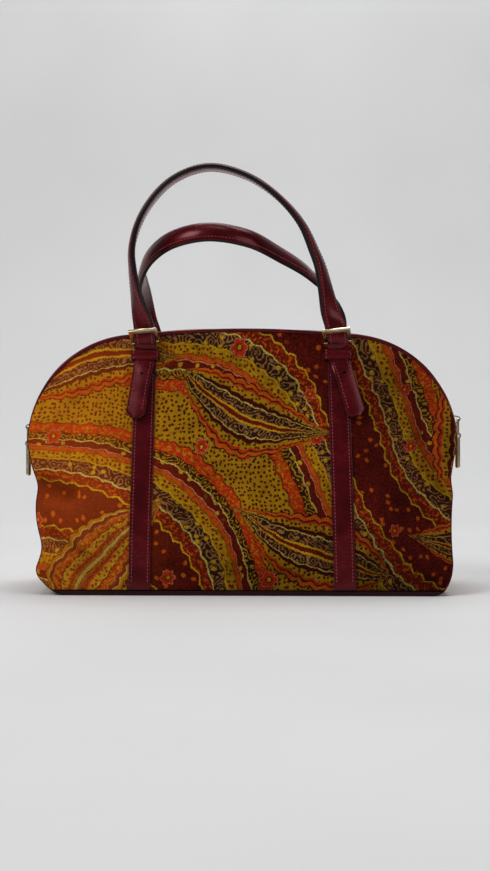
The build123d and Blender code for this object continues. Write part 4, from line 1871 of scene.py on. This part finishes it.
@dataclass
class HandleSet:
    """The two handles with their strap tips, buckles and prongs.

    Attributes:
        form: Outer form.
        finishes: Materials.
        sewing: Stitches.
        straps: Straps under the tips.
        rise: Height of the arch above the buckle bars.
        leg_out: Distance of a leg's middle from the buckle bar.
        straight, bend_r: Straight length of a leg and radius of the lean above it.
        width, tip_width, thickness, crown: Section of the strip.
        tip_t: Thickness of a tip.
        tip_length: Length of a tip below its keeper.
        roll_deg: How far a hanging tip turns its inner edge outwards.
        hole_r, hole_drop: Radius of a tip's punched hole and its distance below the keeper.
        tip_out: Distance of a tip's middle from the panel.
        back_lean_deg: How far the back handle falls towards the middle of the bag.
        tip_lean_deg: How far the left and the right tip lean outwards.
        tip_shares: Stations of a hanging tip, as shares of its length.
        tuck_drops: Stations under the keeper, as distances below its middle.
        entry_drops, entry_outs: Stations between keeper and bar, below the bar and out of the panel.
        blend_half: Half length of the stretch about the bar; its ends are worked out but not used.
        turns: Turn in degrees at shares of the rise, on the left and on the right.
        x_shares, rise_shares: Stations from the left leg to the right one, as shares of spacing and rise,
            of the front handle and the back one.
    """

    form: BagForm
    finishes: Finishes
    sewing: Sewing
    straps: StrapSet
    rise: float = 0.1545
    leg_out: float = 0.00605
    straight: float = 0.018
    bend_r: float = 0.045
    width: float = 0.018
    tip_width: float = 0.017
    thickness: float = 0.0034
    crown: float = 0.0023
    tip_t: float = 0.0026
    tip_length: float = 0.0580
    roll_deg: float = 12.0
    hole_r: float = 0.0012
    hole_drop: float = 0.0175
    tip_out: float = 0.0039
    back_lean_deg: float = 63.5
    tip_lean_deg: tuple[float, float] = (8.0, 16.0)
    tip_shares: tuple[float, ...] = (1.0, 0.8, 0.6, 0.42, 0.27)
    tuck_drops: tuple[float, ...] = (0.0075, 0.0, -0.0048)
    entry_drops: tuple[float, float] = (0.0046, 0.0020)
    entry_outs: tuple[float, float] = (0.0060, 0.0084)
    blend_half: float = 0.011
    turns: tuple[tuple[tuple[float, float], ...], ...] = (
        ((0.0, 0.0), (0.07, 8.0), (0.14, 34.0), (0.23, 56.0), (0.34, 68.0), (0.49, 80.0), (0.70, 90.0)),
        ((0.0, 0.0), (0.07, 5.0), (0.14, 24.0), (0.23, 42.0), (0.39, 60.0), (0.58, 71.0), (0.80, 82.0),
         (1.0, 90.0)))
    x_shares: tuple[tuple[float, ...], ...] = (
        (-1.0, -1.015, -1.055, -1.09, -1.112, -1.128, -1.135, -1.09, -0.955, -0.72, -0.36,
         0.05, 0.41, 0.635, 0.75, 0.815, 0.855, 0.885, 0.92, 0.97, 1.0),
        (-1.0, -1.04, -1.075, -1.09, -1.10, -1.11, -1.11, -1.06, -0.94, -0.72, -0.36,
         0.05, 0.41, 0.64, 0.77, 0.86, 0.94, 1.0, 1.04, 1.03, 1.0))
    rise_shares: tuple[tuple[float, ...], ...] = (
        (0.0, 0.09, 0.17, 0.26, 0.34, 0.42, 0.50, 0.64, 0.79, 0.925, 1.0,
         0.95, 0.81, 0.66, 0.52, 0.43, 0.34, 0.26, 0.17, 0.09, 0.0),
        (0.0, 0.09, 0.17, 0.26, 0.34, 0.42, 0.50, 0.64, 0.79, 0.925, 1.0,
         0.94, 0.76, 0.62, 0.51, 0.43, 0.34, 0.26, 0.17, 0.09, 0.0))

    def lean(self, side: Side) -> float:
        """Angle by which a handle falls towards the middle of the bag."""
        return 0.0 if side is Side.FRONT else math.radians(self.back_lean_deg)

    def tip_lean(self, hand: Hand) -> float:
        """Angle by which a tip leans outwards."""
        return math.radians(self.tip_lean_deg[0 if hand is Hand.LEFT else 1])

    def hinge(self, side: Side) -> np.ndarray:
        """Middle of the line through a side's buckle bars."""
        return self.form.panel_place(side, np.array(0.0), np.array(self.form.hinge_v),
                                     np.array(self.straps.loop_r))

    def leaned(self, side: Side, rise: float) -> tuple[float, float, float]:
        """Follow a handle up from its bar.

        Args:
            side: Front or back.
            rise: Distance along the handle.

        Returns:
            How far it has leaned and climbed, and its slope there.
        """
        lean = self.lean(side)
        slope = min(max((rise - self.straight) / self.bend_r, 0.0), lean)
        beyond = max(rise - self.straight - self.bend_r * lean, 0.0)
        climb = min(rise, self.straight) + self.bend_r * math.sin(slope) + beyond * math.cos(lean)
        return self.bend_r * (1 - math.cos(slope)) + beyond * math.sin(lean), climb, slope

    def arch(self, side: Side) -> tuple[np.ndarray, np.ndarray]:
        """Work out the stations of a handle above its bars.

        Args:
            side: Front or back.

        Returns:
            Places and outer directions.
        """
        sign = side.value
        spacing = self.form.strap_top_x
        which = 0 if side is Side.FRONT else 1
        shares = self.rise_shares[which]
        xs = np.array(self.x_shares[which]) * spacing
        rises = np.array(shares) * self.rise
        step_x, step_rise = np.gradient(xs), np.gradient(rises)
        step_x[0] = step_x[-1] = 0.0
        hinge = self.hinge(side)
        places, normals = [], []
        for x, rise, share, dx, dr in zip(xs, rises, shares, step_x, step_rise):
            lean, climb, slope = self.leaned(side, rise)
            up = np.array([0.0, -sign * math.sin(slope), math.cos(slope)])
            outer = np.array([0.0, sign * math.cos(slope), math.sin(slope)])
            arch_out = up * dx - np.array([1.0, 0.0, 0.0]) * dr
            arch_out = arch_out / np.linalg.norm(arch_out)
            quarter = math.radians(np.interp(share, *zip(*self.turns[0 if dr > 0 else 1])))
            places.append((x, hinge[1] + sign * (self.leg_out - lean), hinge[2] + climb))
            normals.append(outer * math.cos(quarter) + arch_out * math.sin(quarter))
        return np.array(places), np.array(normals)

    def tip(self, side: Side, hand: Hand) -> tuple[np.ndarray, np.ndarray]:
        """Work out the stations of a tip, from its end up to the leg.

        Args:
            side: Front or back.
            hand: Left or right.

        Returns:
            Places and outer directions.
        """
        pivot_up = self.form.hinge_v - self.straps.keeper_drop
        pivot_x = self.form.strap_x(hand, pivot_up)
        lean = self.tip_lean(hand)
        hung_drops = (0.004, 0.022)
        drops = np.array([*self.tip_length * np.array(self.tip_shares), *self.tuck_drops])
        hung = smooth(drops, *hung_drops)
        across = pivot_x + hand.value * math.sin(lean) * np.maximum(drops, 0.0)
        up = pivot_up - math.cos(lean) * drops
        roll = math.radians(self.roll_deg) * hung
        out = self.tip_out + hung * np.maximum(self.straps.out_at(side, across, up), 0.0)
        out = out + self.tip_width / 2 * np.sin(roll)
        across = np.append(across, np.full(2, self.form.strap_top_x * hand.value))
        up = np.append(up, self.form.hinge_v - np.array(self.entry_drops))
        out = np.append(out, np.array(self.entry_outs))
        roll = np.append(roll, np.zeros(2))[:, None]
        places = self.form.panel_place(side, across, up, out)
        _, _, out_dir = self.form.panel_axes(side)
        return places, out_dir * np.cos(roll) + np.array([hand.value, 0.0, 0.0]) * np.sin(roll)

    def build_handle(self, side: Side) -> None:
        """Build one handle as a single strip from tip to tip.

        Args:
            side: Front or back.
        """
        arch, arch_normals = self.arch(side)
        left, left_normals = self.tip(side, Hand.LEFT)
        right, right_normals = self.tip(side, Hand.RIGHT)
        places = np.vstack([left, arch, right[::-1]])
        normals = np.vstack([left_normals, arch_normals, right_normals[::-1]])
        line = curve_through(np.hstack([places, normals]), 9)
        centre, normal = line[:, :3], line[:, 3:]
        length = run_along(centre)
        end_gap = np.minimum(length, length[-1] - length)
        widen, thicker, fuller = (0.05, 0.08), (0.055, 0.085), (0.085, 0.16)
        low_share, full_share, row_inset = 0.4, 0.6, 0.0070
        width = self.tip_width + (self.width - self.tip_width) * smooth(end_gap, *widen)
        width = width * np.minimum(1.0, 0.5 + 0.5 * end_gap / (self.tip_width / 4))
        crown = self.crown * (low_share + full_share * smooth(end_gap, *fuller))
        thickness = self.tip_t + (self.thickness - self.tip_t) * smooth(end_gap, *thicker)
        ribbon = PaddedRibbon(f"{side.word}_handle_leather", centre, normal, width, crown, thickness,
                              across=13)
        piece = ribbon.build(self.finishes)
        order, half = np.arange(len(centre)), len(centre) // 2
        hung = (end_gap > row_inset) & (end_gap < self.tip_length - self.straps.keeper_height / 2)
        rows = []
        above = end_gap > self.tip_length + self.straps.keeper_drop
        for part in (hung & (order < half), above, hung & (order > half)):
            inside = np.flatnonzero(part)
            rows += ribbon.stitches(self.sewing, int(inside[0]), int(inside[-1]) + 1)
        hole_gap = np.abs(end_gap - self.tip_length + self.hole_drop)
        for ends in (order < half, order > half):
            spot = int(order[ends][np.argmin(hole_gap[ends])])
            punch(piece, centre[spot], ribbon.axes()[2][spot], self.hole_r, 1)
        piece = join([piece, *rows], ribbon.name)
        hinge = self.hinge(side)
        low = (0.0, float(hinge[1]), float(hinge[2]) - self.blend_half)
        high = (0.0, float(hinge[1]), float(hinge[2]) + self.blend_half)
        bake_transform(piece)
        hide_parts(f"{side.word}_handle", *[f"{side.word}_{hand.word}_handle_tip" for hand in Hand])
        LOG.info("%s runs from tip to tip, %.0f mm long", piece.name, 1000 * length[-1])

    def build(self) -> None:
        """Build both handles."""
        for side in Side:
            self.build_handle(side)


@dataclass
class BuckleSet:
    """Gold frames and bars of the four buckles.

    Attributes:
        handles: Handles that the buckles hold.
        finishes: Materials.
        width, length: Outer size of a frame, across and from the bar to its front.
        bar: Width of the frame's sides.
        thickness: Thickness of the frame.
        bar_r: Radius of the round bar.
        lean_deg: How far a frame leans outwards.
        tilt_deg: How far a frame turns in its own plane, at the front and the back.
        prong_width, prong_t, prong_over: Size of a prong, and how far it passes the frame's front.
        edge_r: Radius of its rounded edges.
        rod_inset: How much shorter the round bar is than the frame is wide.
        prong_gap: Room between prong and frame.
        prong_taper_share: Width of a prong's end, as a share of its width.
    """

    handles: HandleSet
    finishes: Finishes
    width: float = 0.0254
    length: float = 0.0160
    bar: float = 0.0040
    thickness: float = 0.0024
    bar_r: float = 0.0015
    lean_deg: float = 50.0
    tilt_deg: tuple[float, float] = (8.0, -4.0)
    prong_width: float = 0.0028
    prong_t: float = 0.0012
    prong_over: float = -0.0022
    edge_r: float = 0.0005
    rod_inset: float = 0.001
    prong_gap: float = 0.0001
    prong_taper_share: float = 0.72

    def build_buckle(self, side: Side, hand: Hand) -> None:
        """Build one buckle.

        Args:
            side: Front or back.
            hand: Left or right.
        """
        name = f"{side.word}_{hand.word}_buckle"
        deselect()
        bpy.ops.mesh.primitive_plane_add(size=1.0)
        frame = bpy.context.active_object
        frame.scale = (self.width, self.length, 1.0)
        frame.location = (0.0, self.length / 2, 0.0)
        settle(frame)
        bpy.ops.object.mode_set(mode="EDIT")
        bpy.ops.mesh.select_all(action="SELECT")
        bpy.ops.mesh.inset(thickness=self.bar, depth=0.0)
        bpy.ops.mesh.delete(type="FACE")
        bpy.ops.object.mode_set(mode="OBJECT")
        low = min(frame.data.polygons, key=lambda face: face.center.y)
        inner_low = min(vertex.co.y for vertex in frame.data.vertices
                        if abs(vertex.co.x) < self.width / 2 - TOUCH)
        for polygon in frame.data.polygons:
            polygon.select = polygon.index == low.index
        bpy.ops.object.mode_set(mode="EDIT")
        bpy.ops.mesh.select_mode(type="FACE")
        bpy.ops.mesh.delete(type="ONLY_FACE")
        bpy.ops.object.mode_set(mode="OBJECT")
        for vertex in frame.data.vertices:
            if abs(vertex.co.y - inner_low) < TOUCH:
                vertex.co.y = 0.0
        bpy.ops.object.mode_set(mode="EDIT")
        bpy.ops.mesh.delete_loose()
        bpy.ops.object.mode_set(mode="OBJECT")
        thicken(frame, self.thickness, self.edge_r, segments=4, offset=0.0)
        deselect()
        bpy.ops.mesh.primitive_cylinder_add(vertices=24, radius=self.bar_r, depth=self.width - self.rod_inset,
                                            rotation=(0.0, math.pi / 2, 0.0))
        rod = bpy.context.active_object
        settle(rod)
        soften(rod)
        buckle = join([frame, rod], f"{name}_gold")
        self.put(buckle, side, hand)
        dress(buckle, self.finishes.gold)
        stand_for(buckle, f"{side.word}_handle", "gold_metal", name)

    def build_prong(self, side: Side, hand: Hand) -> None:
        """Build one prong, a flat bar with an eye round the buckle's bar.

        Args:
            side: Front or back.
            hand: Left or right.
        """
        name = f"{side.word}_{hand.word}_prong"
        reach = self.length + self.prong_over
        deselect()
        bpy.ops.mesh.primitive_cube_add(size=1.0)
        tongue = bpy.context.active_object
        tongue.scale = (self.prong_width, reach, self.prong_t)
        tongue.location = (0.0, reach / 2, -(self.thickness + self.prong_t) / 2 - self.prong_gap)
        settle(tongue)
        for vertex in tongue.data.vertices:
            if vertex.co.y > reach / 2:
                vertex.co.x *= self.prong_taper_share
        rim = tongue.modifiers.new("rim", "BEVEL")
        rim.width = self.prong_t / 3
        rim.segments = 3
        apply_modifiers(tongue)
        bpy.ops.mesh.primitive_cylinder_add(vertices=24, radius=self.bar_r + self.prong_t,
                                            depth=self.prong_width, rotation=(0.0, math.pi / 2, 0.0))
        eye = bpy.context.active_object
        settle(eye)
        soften(eye)
        soften(tongue)
        prong = join([tongue, eye], f"{name}_gold")
        self.put(prong, side, hand)
        dress(prong, self.finishes.gold)
        stand_for(prong, f"{side.word}_handle", "gold_metal", name)

    def put(self, piece: Piece, side: Side, hand: Hand) -> None:
        """Set a piece of a buckle in place on its bar.

        Args:
            piece: Piece modelled with its bar on the X axis, its front towards +Y and its face towards +Z.
            side: Front or back.
            hand: Left or right.
        """
        hinge = self.handles.hinge(side)
        place = Vector((hand.value * self.handles.form.strap_top_x, hinge[1], hinge[2]))
        lean = math.radians(self.lean_deg)
        tilt = math.radians(self.tilt_deg[0 if side is Side.FRONT else 1])
        x_dir = Vector((-side.value, 0.0, 0.0))
        out = Vector((0.0, side.value * math.cos(lean), -math.sin(lean)))
        turn = Matrix((x_dir, out.cross(x_dir), out)).transposed().to_4x4()
        piece.matrix_world = Matrix.Translation(place) @ turn @ Matrix.Rotation(tilt, 4, "Z")
        settle(piece)

    def build(self) -> None:
        """Build every buckle."""
        for side in Side:
            for hand in Hand:
                self.build_buckle(side, hand)
                self.build_prong(side, hand)


@dataclass
class Studio:
    """Camera, lights and the pale floor.

    Attributes:
        target: Point in the middle of the view.
        distance: Distance of the camera from it.
        yaw_deg: How far the camera stands to the bag's right.
        focal_px: Focal length in picture heights' pixels.
        picture_height: Height of the picture in pixels.
        sensor: Sensor height in millimetres.
        lights: Name, place, edge length and watts of each light.
        aim: Point that the lights face.
        sky, sky_strength: Colour and strength of the light from all round.
    """

    target: tuple[float, float, float] = (0.0035, -0.06, 0.140)
    distance: float = 1.193
    yaw_deg: float = 1.5
    focal_px: float = 1350.0
    picture_height: float = 871.0
    sensor: float = 36.0
    lights: tuple[tuple[str, tuple[float, float, float], float, float], ...] = (
        ("key", (-1.6, -1.5, 2.0), 1.1, 30.0), ("fill", (1.8, -1.3, 1.2), 1.0, 7.2),
        ("top", (0.1, 0.35, 2.3), 1.6, 32.0))
    aim: tuple[float, float, float] = (0.0, 0.0, 0.15)
    sky: tuple[float, float, float, float] = (0.92, 0.94, 0.97, 1.0)
    sky_strength: float = 0.14

    def build_camera(self) -> None:
        """Set up the level camera."""
        data = bpy.data.cameras.new("view")
        data.sensor_fit = "VERTICAL"
        data.sensor_height = self.sensor
        data.lens = self.focal_px * self.sensor / self.picture_height
        data.clip_start = 0.01
        camera = bpy.data.objects.new("view", data)
        bpy.context.collection.objects.link(camera)
        yaw = math.radians(self.yaw_deg)
        camera.location = Vector(self.target) + self.distance * Vector((math.sin(yaw), -math.cos(yaw), 0.0))
        camera.rotation_euler = (math.pi / 2, 0.0, yaw)
        bpy.context.scene.camera = camera

    def build_floor(self) -> None:
        """Set up a floor that sweeps up into a backdrop."""
        deselect()
        reach, back, rise, bend = 3.0, 1.6, 2.6, 0.7
        profile = [(-reach, 0.0), (back - bend, 0.0)]
        profile += [(back - bend + bend * math.sin(angle), bend - bend * math.cos(angle))
                    for angle in np.linspace(0.05, math.pi / 2, 24)]
        profile += [(back, rise)]
        line = np.array(profile)
        xs = np.linspace(-reach, reach, 3)
        points = np.stack([np.stack([xs, np.full(3, y), np.full(3, z)], axis=1) for y, z in line])
        floor = woven_grid("floor", points, points[..., :2], STRAP_UV)
        floor.data.shade_smooth()
        paint = Surface("pale_floor")
        clouds = paint.noise(paint.object_place(), 3.0)
        paint.paint(paint.ramp(clouds, [(0.3, srgb(224, 224, 224)), (0.7, srgb(230, 230, 230))]))
        paint.set(Roughness=0.75, Specular_IOR_Level=0.2)
        dress(floor, paint.material)

    def add_light(self, name: str, place: Sequence[float], size: float, watts: float) -> None:
        """Hang a soft square light that faces the bag.

        Args:
            name: Name of the light.
            place: Its place.
            size: Edge length.
            watts: Its power.
        """
        data = bpy.data.lights.new(name, "AREA")
        data.shape = "SQUARE"
        data.size = size
        data.energy = watts
        lamp = bpy.data.objects.new(name, data)
        bpy.context.collection.objects.link(lamp)
        lamp.location = place
        lamp.rotation_euler = (Vector(self.aim) - Vector(place)).to_track_quat("-Z", "Y").to_euler()

    def build(self) -> None:
        """Set up the whole studio."""
        self.build_camera()
        self.build_floor()
        for light in self.lights:
            self.add_light(*light)
        world = bpy.data.worlds.new("studio")
        world.use_nodes = True
        sky = next(node for node in world.node_tree.nodes if node.type == "BACKGROUND")
        sky.inputs["Color"].default_value = self.sky
        sky.inputs["Strength"].default_value = self.sky_strength
        scene = bpy.context.scene
        scene.world = world
        scene.view_settings.view_transform = "Standard"
        scene.view_settings.look = "None"


def dress_nodes(frame: dict, finishes: Finishes) -> None:
    """Give the model's own pieces that stay in view their materials.

    Args:
        frame: The loaded model.
        finishes: Materials.
    """
    by_slot = {"velvet": finishes.velvet, "leather": finishes.leather, "base_leather": finishes.base_leather,
               "zip_tape": finishes.tape, "zip_metal": finishes.brass, "gold_metal": finishes.gold,
               "lining": finishes.lining, "board": finishes.board}
    for subpart in frame["record"]["subparts"]:
        node = frame["nodes"][subpart["node"]]
        for slot in node.material_slots:
            slot.material = by_slot[subpart["material_slot"]]


def move_node(frame: dict, node: str, slot: str, move: Callable[[np.ndarray], np.ndarray]) -> None:
    """Let a copy of a node stand for it, with its points moved.

    Args:
        frame: The loaded model, dressed.
        node: Name of the node.
        slot: Material slot of the record.
        move: Gives the moved points.
    """
    piece = bpy.data.objects.new(f"{node}_soft", frame["nodes"][node].data.copy())
    bpy.context.collection.objects.link(piece)
    points = np.array([vertex.co[:] for vertex in piece.data.vertices])
    piece.data.vertices.foreach_set("co", move(points).reshape(-1))
    piece.data.update()
    stand_for(piece, "bag", slot, node)


def draw_in(points: np.ndarray) -> np.ndarray:
    """Pull the lining in from the folds of the velvet."""
    end_pull, end_reach, depth_share = 0.058, (0.12, 0.175), 0.91
    pull = 1 - end_pull * smooth(np.abs(points[:, 0]), *end_reach)
    return points * np.stack([pull, np.full_like(pull, depth_share), np.ones_like(pull)], axis=1)


def main() -> None:
    """Load the frame and build the looks."""
    logging.basicConfig(level=logging.INFO, format="%(name)s: %(message)s")
    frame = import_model()
    finishes = Finishes()
    dress_nodes(frame, finishes)
    form = BagForm.from_frame()
    body = VelvetBody(form, finishes)
    body.build()
    move_node(frame, "lining", "lining", draw_in)
    move_node(frame, "base_panel", "base_leather", form.sway)
    sewing = Sewing(finishes)
    straps = StrapSet(form, finishes, sewing, body)
    straps.build()
    handles = HandleSet(form, finishes, sewing, straps)
    handles.build()
    BuckleSet(handles, finishes).build()
    Studio().build()


if __name__ == "__main__":
    main()
